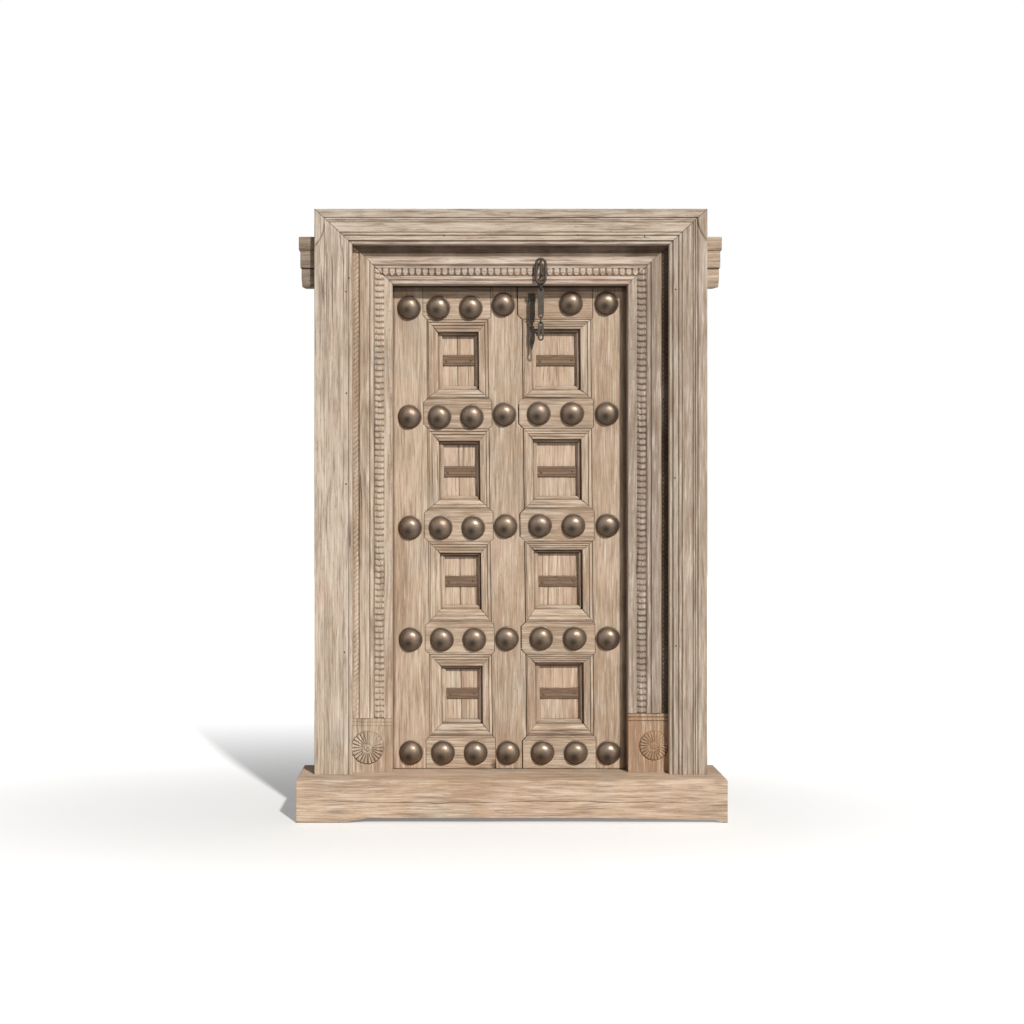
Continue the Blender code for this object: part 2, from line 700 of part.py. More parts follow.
def meeting_edge(offset=0.0):
    """The line where the leaves meet, which steps in round the right leaf's rails."""
    return [(x + offset, z) for x, z in let_in_edge(MEETING_LINE, -RIGHT_MEETING_LET)]


def stud(x, z):
    """A domed iron stud on the front of a leaf."""
    seat = LEAF_FRONT
    rows = ((1.0, -STUD_SEAT), (1.0, STUD_RIM), (0.82, 0.66 * STUD_RISE), (0.45, 0.93 * STUD_RISE))
    rings = []
    for share, rise in rows:
        rings.append([Vector((u, seat - rise, v)) for u, v in
                      arc((x, z), share * STUD_RADIUS, 0, 360 - 360 / STUD_SIDES, STUD_SIDES - 1)])
    shape = loft(rings)
    shape.verts.ensure_lookup_table()
    cap = [face for face in shape.faces if all(v.co.y < seat - 0.9 * STUD_RISE for v in face.verts)]
    for crown in bmesh.ops.poke(shape, faces=cap)["verts"]:
        crown.co.y = seat - STUD_RISE
    return shape


def stud_height(row, sag):
    """Height of a row of studs on its rail, for a column that sags."""
    low, high = RAIL_SPANS[row]
    level = low + TOP_STUD_HEIGHT if high >= LEAF_TOP else (low + high) / 2
    first = sum(RAIL_SPANS[0]) / 2
    return level - sag * (level - first)


def column_of_studs(x, sag):
    """One stud on an upright at each rail's height."""
    spots = lean([(x, stud_height(row, sag)) for row in range(len(RAIL_SPANS))])
    return gather([stud(u, v) for u, v in spots])


def build_hanging_board(name, side, seam, pivot, wood):
    """The outer board, with the round hanging edge and the two wooden pivots in one piece."""
    thick = HANGING_EDGE_INNER
    nosing = arc((PIVOT_X, PIVOT_Y), HANGING_RADIUS, -90, 90, 8)
    plan = [(thick, LEAF_FRONT), *nosing, (thick, LEAF_BACK)]
    edge = prism(sided(plan, side), LEAF_BOTTOM, LEAF_TOP, "Z")
    inside = seam + side * GAP
    corner = side * (thick + OVERLAP)
    face = lean([(inside, LEAF_BOTTOM), (inside, LEAF_TOP)])
    outline = [face[0], (corner, LEAF_BOTTOM), (corner, LEAF_TOP), face[1]]
    board = prism(outline, BOARD_FRONT, LEAF_BACK, "Y")
    spot = (side * PIVOT_X, PIVOT_Y)
    pins = [
        cylinder(spot, PIVOT_RADIUS, LEAF_BOTTOM - PIVOT_LENGTH, LEAF_BOTTOM + OVERLAP, "Z"),
        cylinder(spot, PIVOT_RADIUS, LEAF_TOP - OVERLAP, LEAF_TOP + PIVOT_LENGTH, "Z"),
    ]
    origin = (side * PIVOT_X, PIVOT_Y, LEAF_BOTTOM)
    node(name, edge, wood, add=[board, *pins], origin=origin, parent=pivot)


def build_boards(pivots, wood):
    """Two boards to each leaf; the inner ones end on the meeting line."""
    build_hanging_board("left_board_outer", -1, LEFT_SEAM, pivots["left"], wood)
    build_hanging_board("right_board_outer", 1, RIGHT_SEAM, pivots["right"], wood)
    left = [(LEFT_SEAM + GAP, LEAF_TOP), (LEFT_SEAM + GAP, LEAF_BOTTOM), *meeting_edge()]
    right = [(RIGHT_SEAM - GAP, LEAF_TOP), (RIGHT_SEAM - GAP, LEAF_BOTTOM), *meeting_edge(MEETING_GAP)]
    for name, outline, leaf in (("left_board_inner", left, "left"), ("right_board_inner", right, "right")):
        shape = prism(lean(outline), BOARD_FRONT, LEAF_BACK, "Y")
        node(name, shape, wood, parent=pivots[leaf])


def build_uprights(pivots, wood):
    """The stiles at the hanging edges and the post at the meeting line, with their studs."""
    outer = HANGING_EDGE_INNER - GAP
    for name, side, edge, let, column in (
        ("left", -1, LEFT_STILE_EDGE, LEFT_HANGING_LET, LEFT_STILE_STUDS - PIVOT_X),
        ("right", 1, RIGHT_STILE_EDGE, RIGHT_HANGING_LET, PIVOT_X - RIGHT_STILE_STUDS),
    ):
        inner = let_in_edge(edge, side * let, GAP)
        outline = [(side * outer, LEAF_TOP), (side * outer, LEAF_BOTTOM), *lean(inner)]
        shape = prism(outline, LEAF_FRONT, PLANTED_BACK, "Y")
        sag = LEFT_STUD_SAG if side < 0 else 0.0
        node(name + "_stile", shape, wood, add=[column_of_studs(column, sag)], parent=pivots[name])
    inner = let_in_edge(POST_LEFT_EDGE, LEFT_MEETING_LET, GAP)
    outline = lean([*meeting_edge(), *reversed(inner)])
    shape = prism(outline, LEAF_FRONT, PLANTED_BACK, "Y")
    studs = column_of_studs(POST_STUDS, POST_STUD_SAG)
    node("meeting_post", shape, wood, add=[studs], parent=pivots["left"])


def rail_outline(row, left, left_let, right, right_let):
    """A rail with its corners cut where it enters the uprights."""
    low, high = RAIL_SPANS[row]
    start, end = left - left_let, right + right_let
    points = []
    if row > 0:
        points += [(start, low + left_let), (left, low), (right, low), (end, low + right_let)]
    else:
        points += [(start, low), (end, low)]
    if high < LEAF_TOP:
        points += [(end, high - right_let), (right, high), (left, high), (start, high - left_let)]
    else:
        points += [(end, high), (start, high)]
    return points


def build_rails(pivots, wood):
    """Five rails to each leaf, let into the uprights, with two studs each."""
    meeting = MEETING_LINE + MEETING_GAP
    for row in range(len(RAIL_SPANS)):
        name = "_rail_" + str(row + 1)
        left = rail_outline(row, LEFT_STILE_EDGE, LEFT_HANGING_LET, POST_LEFT_EDGE, LEFT_MEETING_LET)
        spots = lean([(x, stud_height(row, LEFT_STUD_SAG)) for x in LEFT_STUD_COLUMNS])
        studs = gather([stud(u, v) for u, v in spots])
        shape = prism(lean(left), LEAF_FRONT, PLANTED_BACK, "Y")
        node("left" + name, shape, wood, add=[studs], parent=pivots["left"])
        right = rail_outline(row, meeting, RIGHT_MEETING_LET, RIGHT_STILE_EDGE, RIGHT_HANGING_LET)
        top = row == len(RAIL_SPANS) - 1
        columns = RIGHT_STUD_COLUMNS[1:] if top else RIGHT_STUD_COLUMNS
        spots = lean([(x, stud_height(row, 0.0)) for x in columns])
        studs = gather([stud(u, v) for u, v in spots])
        cuts = []
        if top:
            for leg in leaf_staple_legs():
                depth = LEAF_FRONT + LEAF_STAPLE_DRIVEN + GAP
                hole = bore((LEAF_CHAIN_X, leg), LEAF_STAPLE_RADIUS + GAP, -FAR, depth, "Y", 8)
                cuts.append(hole)
        shape = prism(lean(right), LEAF_FRONT, PLANTED_BACK, "Y")
        node("right" + name, shape, wood, add=[studs], cut=cuts, parent=pivots["right"])


def panel_bounds(row, leaf):
    """The outside of a panel's moulding and the opening inside it, at the heights of one row."""
    low = RAIL_SPANS[row][1] + GAP
    high = RAIL_SPANS[row + 1][0] - GAP
    if leaf == "left":
        outside = (LEFT_STILE_EDGE + GAP, POST_LEFT_EDGE - GAP)
        members = (LEFT_HANGING_MEMBER, LEFT_MEETING_MEMBER)
    else:
        outside = (MEETING_LINE + MEETING_GAP, RIGHT_STILE_EDGE - GAP)
        members = (RIGHT_MEETING_MEMBER, RIGHT_HANGING_MEMBER)
    opening = (outside[0] + members[0], outside[1] - members[1])
    return (*outside, low, high), (*opening, low + LOWER_MEMBERS[row], high - UPPER_MEMBERS[row])


def moulding(outside, opening):
    """A mitred frame: a flat, a slope, a drop to a ledge and a drop to the boards."""
    front = LEAF_FRONT + MOULDING_SET_BACK
    ledge = LEAF_FRONT + LEDGE_DEPTH + MOULDING_SET_BACK
    inner = (opening[0] - LEDGE_WIDTH, opening[1] + LEDGE_WIDTH,
             opening[2] - LEDGE_HEIGHT, opening[3] + LEDGE_HEIGHT)
    flat = [a + FLAT_SHARE * (b - a) for a, b in zip(outside, inner)]
    rows = (
        (outside, PLANTED_BACK), (outside, front), (flat, front), (inner, front + MOULDING_DIP),
        (inner, ledge), (opening, ledge), (opening, PLANTED_BACK),
    )
    rings = []
    for bounds, y in rows:
        corners = lean(rectangle(*bounds))
        rings.append([Vector((x, y, z)) for x, z in corners])
    return loft(rings, looped=True)


def build_panels(pivots, wood, iron):
    """Four framed panels to each leaf, each with an iron strap across its opening."""
    for row in range(len(RAIL_SPANS) - 1):
        for leaf in ("left", "right"):
            outside, opening = panel_bounds(row, leaf)
            suffix = "_" + str(row + 1)
            node(leaf + "_moulding" + suffix, moulding(outside, opening), wood, parent=pivots[leaf])
            centre = (opening[2] + opening[3]) / 2 + STRAP_LIFT
            low, high = centre - STRAP_HEIGHT / 2, centre + STRAP_HEIGHT / 2
            bounds = lean(rectangle(opening[0] + GAP, opening[1] - GAP, low, high))
            strap = prism(bounds, PLANTED_BACK - STRAP_THICKNESS, PLANTED_BACK, "Y")
            node(leaf + "_strap" + suffix, strap, iron, parent=pivots[leaf])


# ---- door chain


def stadium(half_width, length, bend=6, straight=1):
    """A long link's centre line, from its top at 0 down to -length, as pairs of offset and height."""
    top, bottom = -half_width, half_width - length
    right = [(half_width, bottom + (top - bottom) * k / straight) for k in range(1, straight)]
    left = [(-half_width, top - (top - bottom) * k / straight) for k in range(1, straight)]
    upper = arc((0, top), half_width, 0, 180, bend)
    lower = arc((0, bottom), half_width, 180, 360, bend)
    return [*upper, *left, *lower, *right]


def link(half_width, length, radius, spot, turn, sides=6, bend=6, straight=1):
    """A closed wire link that hangs from its top wire at the spot; turn(height) is its angle."""
    path, flats = [], []
    for u, v in stadium(half_width, length, bend, straight):
        angle = turn(v)
        path.append(Vector(spot) + Vector((u * math.cos(angle), u * math.sin(angle), v)))
        flats.append(Vector((-math.sin(angle), math.cos(angle), 0)))
    return wire(path, flats, radius, sides, True)


def staple(x, legs, reach, driven, face, radius):
    """A bow of round iron with both legs driven in behind the face."""
    lower, upper = legs
    bend = 2 * radius
    front = face - reach
    outline = [(face + driven, lower)]
    outline += arc((front + bend, lower + bend), bend, 270, 180, 3)
    outline += arc((front + bend, upper - bend), bend, 180, 90, 3)
    outline.append((face + driven, upper))
    path = [Vector((x, y, z)) for y, z in outline]
    return wire(path, [Vector((1, 0, 0))] * len(path), radius, 8, False)


def plate(x, y, outline, holes):
    """A flat iron that hangs square to Y; the holes are (height, radius) pairs from its own origin."""
    half = PLATE_THICKNESS / 2
    shape = prism(outline, y - half, y + half, "Y")
    cuts = [bore((x, height), radius, -FAR, FAR, "Y", 14) for height, radius in holes]
    return shape, cuts


def bar_outline(x, upper, lower, half_width):
    """A flat bar with an eye at each end."""
    top = arc((x, upper), BAR_EYE, 0, 180, 8)
    bottom = arc((x, lower), LOWER_EYE, 180, 360, 8)
    waist = BAR_EYE + EYE_SHOULDER
    left = [(x - half_width, upper - waist), (x - half_width, lower + waist)]
    right = [(x + half_width, lower + waist), (x + half_width, upper - waist)]
    return [*top, *left, *bottom, *right]


def leaf_staple_legs():
    """Heights of the two legs of the staple on the leaf."""
    return LEAF_STAPLE_LOWER_LEG, LEAF_STAPLE_LOWER_LEG + LEAF_STAPLE_SPREAD


def face_on(_height):
    """A link square to Y."""
    return 0.0


def edge_on(_height):
    """A link square to X."""
    return math.pi / 2


def twist(height):
    """Half a turn down the twisted link, with both ends square to X."""
    start = TWIST_HALF_WIDTH
    share = min(1.0, max(0.0, (-height - start) / (TWIST_LENGTH - 2 * start)))
    smooth = share ** 3 * (share * (6 * share - 15) + 10)
    return math.pi / 2 - math.pi * smooth


def build_lintel_strand(iron):
    """The staple in the lintel, the long ring over it, and the strand that hangs from the ring."""
    legs = (STAPLE_LOWER_LEG, STAPLE_UPPER_LEG)
    reach = STAPLE_REACH
    fixed = node("lintel_staple", staple(CHAIN_X, legs, reach, STAPLE_DRIVEN, FRAME_FRONT, STAPLE_RADIUS),
                 iron, origin=(CHAIN_X, FRAME_FRONT, STAPLE_UPPER_LEG))
    ring_top = STAPLE_UPPER_LEG + STAPLE_RADIUS + LINK_GAP + RING_RADIUS
    axis = (CHAIN_X, CHAIN_Y, ring_top - RING_HALF_WIDTH)
    shape = link(RING_HALF_WIDTH, RING_LENGTH, RING_RADIUS, (CHAIN_X, CHAIN_Y, ring_top), face_on, 8, 8)
    ring = node("chain_ring", shape, iron, origin=axis, parent=fixed)
    twist_top = ring_top - RING_LENGTH + RING_RADIUS + LINK_GAP + TWIST_RADIUS
    axis = (CHAIN_X, CHAIN_Y, twist_top - TWIST_HALF_WIDTH)
    spot = (CHAIN_X, CHAIN_Y, twist_top)
    shape = link(TWIST_HALF_WIDTH, TWIST_LENGTH, TWIST_RADIUS, spot, twist, 6, 6, 7)
    twisted = node("chain_twisted_link", shape, iron, origin=axis, parent=ring, smooth=50)
    eye = twist_top - TWIST_LENGTH + TWIST_RADIUS + LINK_GAP - BAR_EYE_HOLE
    lower_eye = eye - BAR_LENGTH
    outline = bar_outline(CHAIN_X, eye, lower_eye, BAR_HALF_WIDTH)
    shape, cuts = plate(CHAIN_X, CHAIN_Y, outline, [(eye, BAR_EYE_HOLE), (lower_eye, LOWER_EYE_HOLE)])
    bar = node("chain_bar", shape, iron, cut=cuts, origin=(CHAIN_X, CHAIN_Y, eye), parent=twisted)
    connector_top = lower_eye - LOWER_EYE_HOLE + LINK_GAP + CONNECTOR_RADIUS
    spot = (CHAIN_X, CHAIN_Y, connector_top)
    axis = (CHAIN_X, CHAIN_Y, connector_top - CONNECTOR_HALF_WIDTH)
    shape = link(CONNECTOR_HALF_WIDTH, CONNECTOR_LENGTH, CONNECTOR_RADIUS, spot, edge_on)
    connector = node("chain_connector", shape, iron, origin=axis, parent=bar)
    eye = connector_top - CONNECTOR_LENGTH + CONNECTOR_RADIUS + LINK_GAP - LOWER_EYE_HOLE
    half = LOWER_LINK_HALF_WIDTH
    end = eye - LOWER_LINK_LENGTH
    shoulder = LOWER_EYE + EYE_SHOULDER
    outline = [*arc((CHAIN_X, eye), LOWER_EYE, 0, 180, 8), (CHAIN_X - half, eye - shoulder),
               *arc((CHAIN_X, end), half, 180, 360, 8), (CHAIN_X + half, eye - shoulder)]
    shape, cuts = plate(CHAIN_X, CHAIN_Y, outline, [(eye, LOWER_EYE_HOLE)])
    slot = LOWER_LINK_SLOT / 2
    slot_top = end + LOWER_LINK_SLOT_LENGTH - slot
    slot_outline = [*arc((CHAIN_X, slot_top), slot, 0, 180, 5), *arc((CHAIN_X, end), slot, 180, 360, 5)]
    cuts.append(prism(slot_outline, -FAR, FAR, "Y"))
    node("chain_lower_link", shape, iron, cut=cuts, origin=(CHAIN_X, CHAIN_Y, eye), parent=connector)


def build_leaf_strand(pivot, iron):
    """The staple on the right leaf, through its square plate, and the strand that hangs from it."""
    lower, upper = leaf_staple_legs()
    bow = staple(LEAF_CHAIN_X, (lower, upper), LEAF_STAPLE_REACH, LEAF_STAPLE_DRIVEN, LEAF_FRONT,
                 LEAF_STAPLE_RADIUS)
    half, margin = LEAF_PLATE_HALF_WIDTH, LEAF_PLATE_MARGIN
    back = LEAF_FRONT - GAP
    washer = box((LEAF_CHAIN_X - half, back - LEAF_PLATE_THICKNESS, lower - margin),
                 (LEAF_CHAIN_X + half, back, upper + margin))
    origin = (LEAF_CHAIN_X, LEAF_FRONT, lower)
    fixed = node("leaf_staple", washer, iron, add=[bow], origin=origin, parent=pivot)
    eye = lower + LEAF_STAPLE_RADIUS + LINK_GAP - BAR_EYE_HOLE
    lower_eye = eye - LEAF_LINK_LENGTH
    outline = bar_outline(LEAF_CHAIN_X, eye, lower_eye, BAR_HALF_WIDTH)
    holes = [(eye, BAR_EYE_HOLE), (lower_eye, LOWER_EYE_HOLE)]
    shape, cuts = plate(LEAF_CHAIN_X, LEAF_CHAIN_Y, outline, holes)
    origin = (LEAF_CHAIN_X, LEAF_CHAIN_Y, eye)
    leaf_link = node("leaf_link", shape, iron, cut=cuts, origin=origin, parent=fixed)
    connector_top = lower_eye - LOWER_EYE_HOLE + LINK_GAP + CONNECTOR_RADIUS
    spot = (LEAF_CHAIN_X, LEAF_CHAIN_Y, connector_top)
    axis = (LEAF_CHAIN_X, LEAF_CHAIN_Y, connector_top - CONNECTOR_HALF_WIDTH)
    shape = link(CONNECTOR_HALF_WIDTH, CONNECTOR_LENGTH, CONNECTOR_RADIUS, spot, edge_on)
    connector = node("leaf_connector", shape, iron, origin=axis, parent=leaf_link)
    eye = connector_top - CONNECTOR_LENGTH + CONNECTOR_RADIUS + LINK_GAP - LOWER_EYE_HOLE
    tip = eye + LOWER_EYE - TIP_LINK_LENGTH
    x, half = LEAF_CHAIN_X, BAR_HALF_WIDTH
    upper = eye - LOWER_EYE - EYE_SHOULDER
    shoulder = tip + 0.45 * TIP_LINK_LENGTH
    outline = [
        *arc((x, eye), LOWER_EYE, 0, 180, 8), (x - half, upper), (x - half, shoulder),
        (x - TIP_HALF_WIDTH, tip), (x + TIP_HALF_WIDTH, tip), (x + half, shoulder), (x + half, upper),
    ]
    shape, cuts = plate(LEAF_CHAIN_X, LEAF_CHAIN_Y, outline, [(eye, LOWER_EYE_HOLE)])
    origin = (LEAF_CHAIN_X, LEAF_CHAIN_Y, eye)
    node("leaf_tip_link", shape, iron, cut=cuts, origin=origin, parent=connector)


def main():
    for old in list(bpy.data.objects):
        bpy.data.objects.remove(old)
    pale = material("bleached_teak", (0.60, 0.50, 0.41), 0.85, 0.0)
    tan = material("sanded_teak", (0.49, 0.36, 0.26), 0.8, 0.0)
    iron = material("dark_iron", (0.10, 0.075, 0.06), 0.5, 0.8)
    build_threshold(tan)
    build_lintel(pale)
    build_jamb("jamb_left", -1, LEFT_BLOCK_TOP, LEFT_ROSETTE, pale)
    build_jamb("jamb_right", 1, RIGHT_BLOCK_TOP, RIGHT_ROSETTE, pale)
    build_architrave(pale)
    pivots = {
        "left": axis_empty("left_leaf_axis", (-PIVOT_X, PIVOT_Y, LEAF_BOTTOM)),
        "right": axis_empty("right_leaf_axis", (PIVOT_X, PIVOT_Y, LEAF_BOTTOM)),
    }
    build_boards(pivots, tan)
    build_uprights(pivots, tan)
    build_rails(pivots, tan)
    build_panels(pivots, tan, iron)
    build_lintel_strand(iron)
    build_leaf_strand(pivots["right"], iron)


main()
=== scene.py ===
"""Looks of a haveli door: carved, bleached teak, domed iron studs and a wrought door chain.

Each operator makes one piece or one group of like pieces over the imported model.
Metres, +Z up, front towards -Y.
"""

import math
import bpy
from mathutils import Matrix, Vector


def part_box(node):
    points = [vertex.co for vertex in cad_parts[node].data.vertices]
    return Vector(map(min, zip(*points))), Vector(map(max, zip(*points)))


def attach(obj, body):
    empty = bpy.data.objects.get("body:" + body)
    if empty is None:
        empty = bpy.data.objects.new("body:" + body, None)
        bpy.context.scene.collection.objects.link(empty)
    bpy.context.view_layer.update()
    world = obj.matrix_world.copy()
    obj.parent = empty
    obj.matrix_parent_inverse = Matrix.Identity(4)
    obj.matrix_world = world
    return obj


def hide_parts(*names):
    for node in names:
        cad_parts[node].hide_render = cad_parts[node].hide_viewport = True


bl_info = {
    "name": "Haveli Door",
    "version": (1, 0, 0),
    "blender": (4, 5, 0),
    "location": "View3D > Sidebar > Haveli Door",
    "description": "Dresses a carved teak door with its frame, iron studs and door chain",
    "category": "Add Mesh",
}

import bmesh
import bpy
import numpy as np
from mathutils import Vector, noise

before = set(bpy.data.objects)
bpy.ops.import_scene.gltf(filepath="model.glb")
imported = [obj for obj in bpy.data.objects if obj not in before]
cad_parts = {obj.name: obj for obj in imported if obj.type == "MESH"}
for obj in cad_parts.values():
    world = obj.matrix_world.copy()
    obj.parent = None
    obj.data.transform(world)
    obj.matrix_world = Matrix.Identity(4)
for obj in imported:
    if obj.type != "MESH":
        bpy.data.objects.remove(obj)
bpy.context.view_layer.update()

# ---- sizes read from the frame

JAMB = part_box("jamb_right")
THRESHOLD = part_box("threshold")
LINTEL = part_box("lintel_beam")
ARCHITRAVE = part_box("architrave_right")
ARCHITRAVE_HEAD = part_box("architrave_head")
INNER_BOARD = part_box("left_board_inner")
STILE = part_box("right_stile")
OPENING_HALF_WIDTH = JAMB[0].x
JAMB_OUTER = JAMB[1].x
FRAME_BACK = JAMB[1].y
OPENING_TOP = LINTEL[0].z + 0.013
LINTEL_TOP = LINTEL[1].z
HORN_END = LINTEL[1].x
THRESHOLD_TOP = THRESHOLD[1].z
ARCHITRAVE_INNER = ARCHITRAVE[0].x
ARCHITRAVE_OUTER = ARCHITRAVE[1].x
ARCHITRAVE_FRONT = ARCHITRAVE[0].y
ARCHITRAVE_BACK = ARCHITRAVE[1].y
ARCHITRAVE_CROWN = ARCHITRAVE_HEAD[1].z
HEAD_INNER = ARCHITRAVE_HEAD[0].z
LEAF_BOTTOM = INNER_BOARD[0].z
LEAF_TOP = INNER_BOARD[1].z
LEAF_BACK = INNER_BOARD[1].y
BOARD_FRONT = INNER_BOARD[0].y
PLANTED_BACK = STILE[1].y

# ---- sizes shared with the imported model

GAP = 0.0004
MITRE_ROOM = 0.0002
FRAME_FRONT = -0.008
FACE_BACK = 0.0195  # behind the carved face of the inner frame
LIP_BACK = 0.044
LEAF_FRONT = 0.047
PIVOT_X = 0.437
LEAN = 0.0110  # of the leaves' uprights, over each metre of height
LEAN_HEIGHT = 1.0  # where they stand over their places in this script
LEAN_FADE = 0.200  # width over which the lean dies away before the pivots
LEFT_JOINT = -0.4125  # the dark line along the left leaf, beside its jamb
RIGHT_STILE_LIMIT = 0.401  # beyond it the right leaf lies in the rebate of the jamb, and is darkened as painted shade


# ---- shader maths


class Socket:
    """A shader value that takes part in Python expressions; each operation adds its node."""

    def __init__(self, tree, socket):
        self.tree = tree
        self.socket = socket

    def maths(self, operation, *values):
        """A Math node over this value and others."""
        return self.tree.node("ShaderNodeMath", {"operation": operation}, self, *values)

    def __add__(self, other):
        return self.maths("ADD", other)

    def __sub__(self, other):
        return self.maths("SUBTRACT", other)

    def __rsub__(self, other):
        return self.tree.node("ShaderNodeMath", {"operation": "SUBTRACT"}, other, self)

    def __mul__(self, other):
        return self.maths("MULTIPLY", other)

    __radd__ = __add__
    __rmul__ = __mul__

    def ramp(self, low, high):
        """Smoothly from 0 at one value to 1 at another, or from 1 to 0 where low is over high."""
        span = (low, high, 0.0, 1.0) if low < high else (high, low, 1.0, 0.0)
        return self.tree.node("ShaderNodeMapRange", {"interpolation_type": "SMOOTHSTEP"}, self, *span)

    def scaled(self, factors):
        """This vector with each of its parts multiplied."""
        return self.tree.node("ShaderNodeVectorMath", {"operation": "MULTIPLY"}, self, factors)

    def beside(self, output):
        """Another output of the same node."""
        return Socket(self.tree, self.socket.node.outputs[output])


class Tree:
    """The nodes of a material or of the world, made in code."""

    def __init__(self, owner):
        owner.use_nodes = True
        self.nodes = owner.node_tree.nodes
        self.links = owner.node_tree.links
        self.shader = self.nodes.get("Principled BSDF")

    def node(self, kind, settings, *values, output=0, **named):
        """A node of a type: its settings, then its sockets' values or links, where None leaves one alone."""
        made = self.nodes.new(kind)
        for name, value in settings.items():
            setattr(made, name, value)
        for key, value in [*enumerate(values), *named.items()]:
            if value is not None:
                self.feed(made.inputs[key], value)
        return Socket(self, made.outputs[output])

    def feed(self, socket, value):
        """A link or a plain value into a socket."""
        if isinstance(value, Socket):
            self.links.new(value.socket, socket)
        else:
            socket.default_value = value

    def attribute(self, name):
        """A value that the mesh holds at its points."""
        return self.node("ShaderNodeAttribute", {"attribute_name": name}, output="Fac")

    def noise(self, point, scale, detail=2.0, roughness=0.5):
        """Noise over a point, from 0 to 1."""
        return self.node("ShaderNodeTexNoise", {}, Vector=point, Scale=scale, Detail=detail,
                         Roughness=roughness)

    def blend(self, share, first, second):
        """One colour over another; a Mix node's colour sockets come after five that it doesn't use."""
        return self.node("ShaderNodeMix", {"data_type": "RGBA"}, share, *[None] * 5, first, second, output=2)

    def parts(self, vector):
        """The three values of a vector."""
        first = self.node("ShaderNodeSeparateXYZ", {}, vector)
        return [first.beside(k) for k in range(3)]

    def vector(self, x, y, z):
        """A vector of three values."""
        return self.node("ShaderNodeCombineXYZ", {}, x, y, z)

    def bump(self, height, distance, strength=1.0):
        """The surface's normal over a height in metres times the distance."""
        return self.node("ShaderNodeBump", {}, Height=height, Distance=distance, Strength=strength)

    def finish(self, **inputs):
        """Links and plain values into the shader's inputs."""
        for name, value in inputs.items():
            self.feed(self.shader.inputs[name.replace("_", " ")], value)


def rgb(colour):
    """A property's colour with full alpha."""
    return (*colour[:3], 1.0)


# ---- finishes


def teak(name, look, pale, tan, wear=1.0, leaf=False):
    """Old teak, bleached and blasted: grain along each member, hard lines proud, grime in the grooves."""
    material = bpy.data.materials.new(name)
    t = Tree(material)
    across, seed, grime = t.attribute("across"), t.attribute("seed"), t.attribute("grime")
    x, y, z = t.parts(t.node("ShaderNodeTexCoord", {}, output="Object"))
    along = z + (x - z) * across + seed * 2.3
    side = x + (z - x) * across + seed * 0.37
    depth = y + seed * 0.11
    drift = t.noise(t.vector(side, depth, along * 0.3), 5.0) - 0.5
    side = side + drift * 0.02
    point = t.vector(side, depth, along)

    def drawn_out(share, scale, detail, roughness=0.5):
        """Noise drawn out along the grain; the smaller the share, the longer it is drawn."""
        return t.noise(point.scaled((1.0, 1.0, share)), scale, detail, roughness)

    fibres = drawn_out(0.035, 210.0, 5.0, 0.68)
    streaks = drawn_out(0.07, 95.0, 4.0, 0.65)
    boards = drawn_out(0.16, 9.0, 3.0, 0.55)
    patches = t.noise(point, 4.5, 4.0, 0.6)
    reach = side * 13.0 + drawn_out(0.12, 11.0, 2.0) * 3.2 + depth * 6.0
    rings = (reach * 26.0).maths("SINE") * 0.5 + 0.5
    hard = rings.ramp(0.35, 1.0) * fibres.ramp(0.25, 0.6) * patches.ramp(0.35, 0.6)
    split_line = (drawn_out(0.018, 34.0, 2.0, 0.4) - 0.5).maths("ABSOLUTE")
    splits = split_line.ramp(0.012, 0.0) * drawn_out(0.35, 7.0, 2.0).ramp(0.56, 0.68)
    pits = drawn_out(0.14, 420.0, 3.0, 0.7).ramp(0.62, 0.74)
    knots = drawn_out(0.55, 8.5, 1.0).ramp(0.735, 0.80)
    # the grime attribute holds the dirt in joints and carving and also painted shade: under the head
    # moulding, over the right scroll and reels, on the panels' upper and right ledges and beside the right
    # jamb
    dirt = (grime + (patches - 0.5) * grime * 1.2) * look.grime
    wood = rgb(pale)
    for share, layer in (
        (boards.ramp(0.36, 0.64), tan),
        (patches.ramp(0.50, 0.72) * 0.55, look.grey_tint),
        (patches.ramp(0.46, 0.28) * 0.50, look.pink_tint),
        (streaks.ramp(0.50, 0.68) * 0.80 * wear, look.dark_grain),
        (streaks.ramp(0.47, 0.32) * 0.60, look.bleached_grain),
        (hard * 0.42 * wear, look.dark_grain),
        (fibres.ramp(0.51, 0.68) * 0.75, look.dark_grain),
        (fibres.ramp(0.46, 0.32) * 0.65, look.bleached_grain),
        (pits * 0.35, look.crack_dirt_and_shade),
        (knots * 0.6, look.dark_grain),
        (splits * 0.62 * wear, look.crack_dirt_and_shade),
        (dirt.maths("MINIMUM", 1.0).maths("MAXIMUM", 0.0), look.leaf_groove_dirt_and_shade if leaf else look.crack_dirt_and_shade),
    ):
        wood = t.blend(share, wood, rgb(layer))
    if leaf:
        # soot and painted shadow of the lintel: a near-black band across the front of the leaves' tops
        up = z - LEAF_TOP
        soot_and_shade = up.ramp(-0.044, -0.038) * 0.62 + up.ramp(-0.031, -0.023) * 0.36
        wood = t.blend(soot_and_shade * y.ramp(LEAF_BACK - 0.006, LEAF_BACK - 0.012), wood, rgb(look.soot_and_shade))
    height = streaks * 0.9 + fibres * 0.7 + hard * 0.5 - splits * 2.4 - pits * 0.7 - knots * 0.8
    t.finish(Base_Color=wood, Roughness=0.80 + fibres * 0.18, Normal=t.bump(height, look.relief),
             Specular_IOR_Level=0.25)
    return material


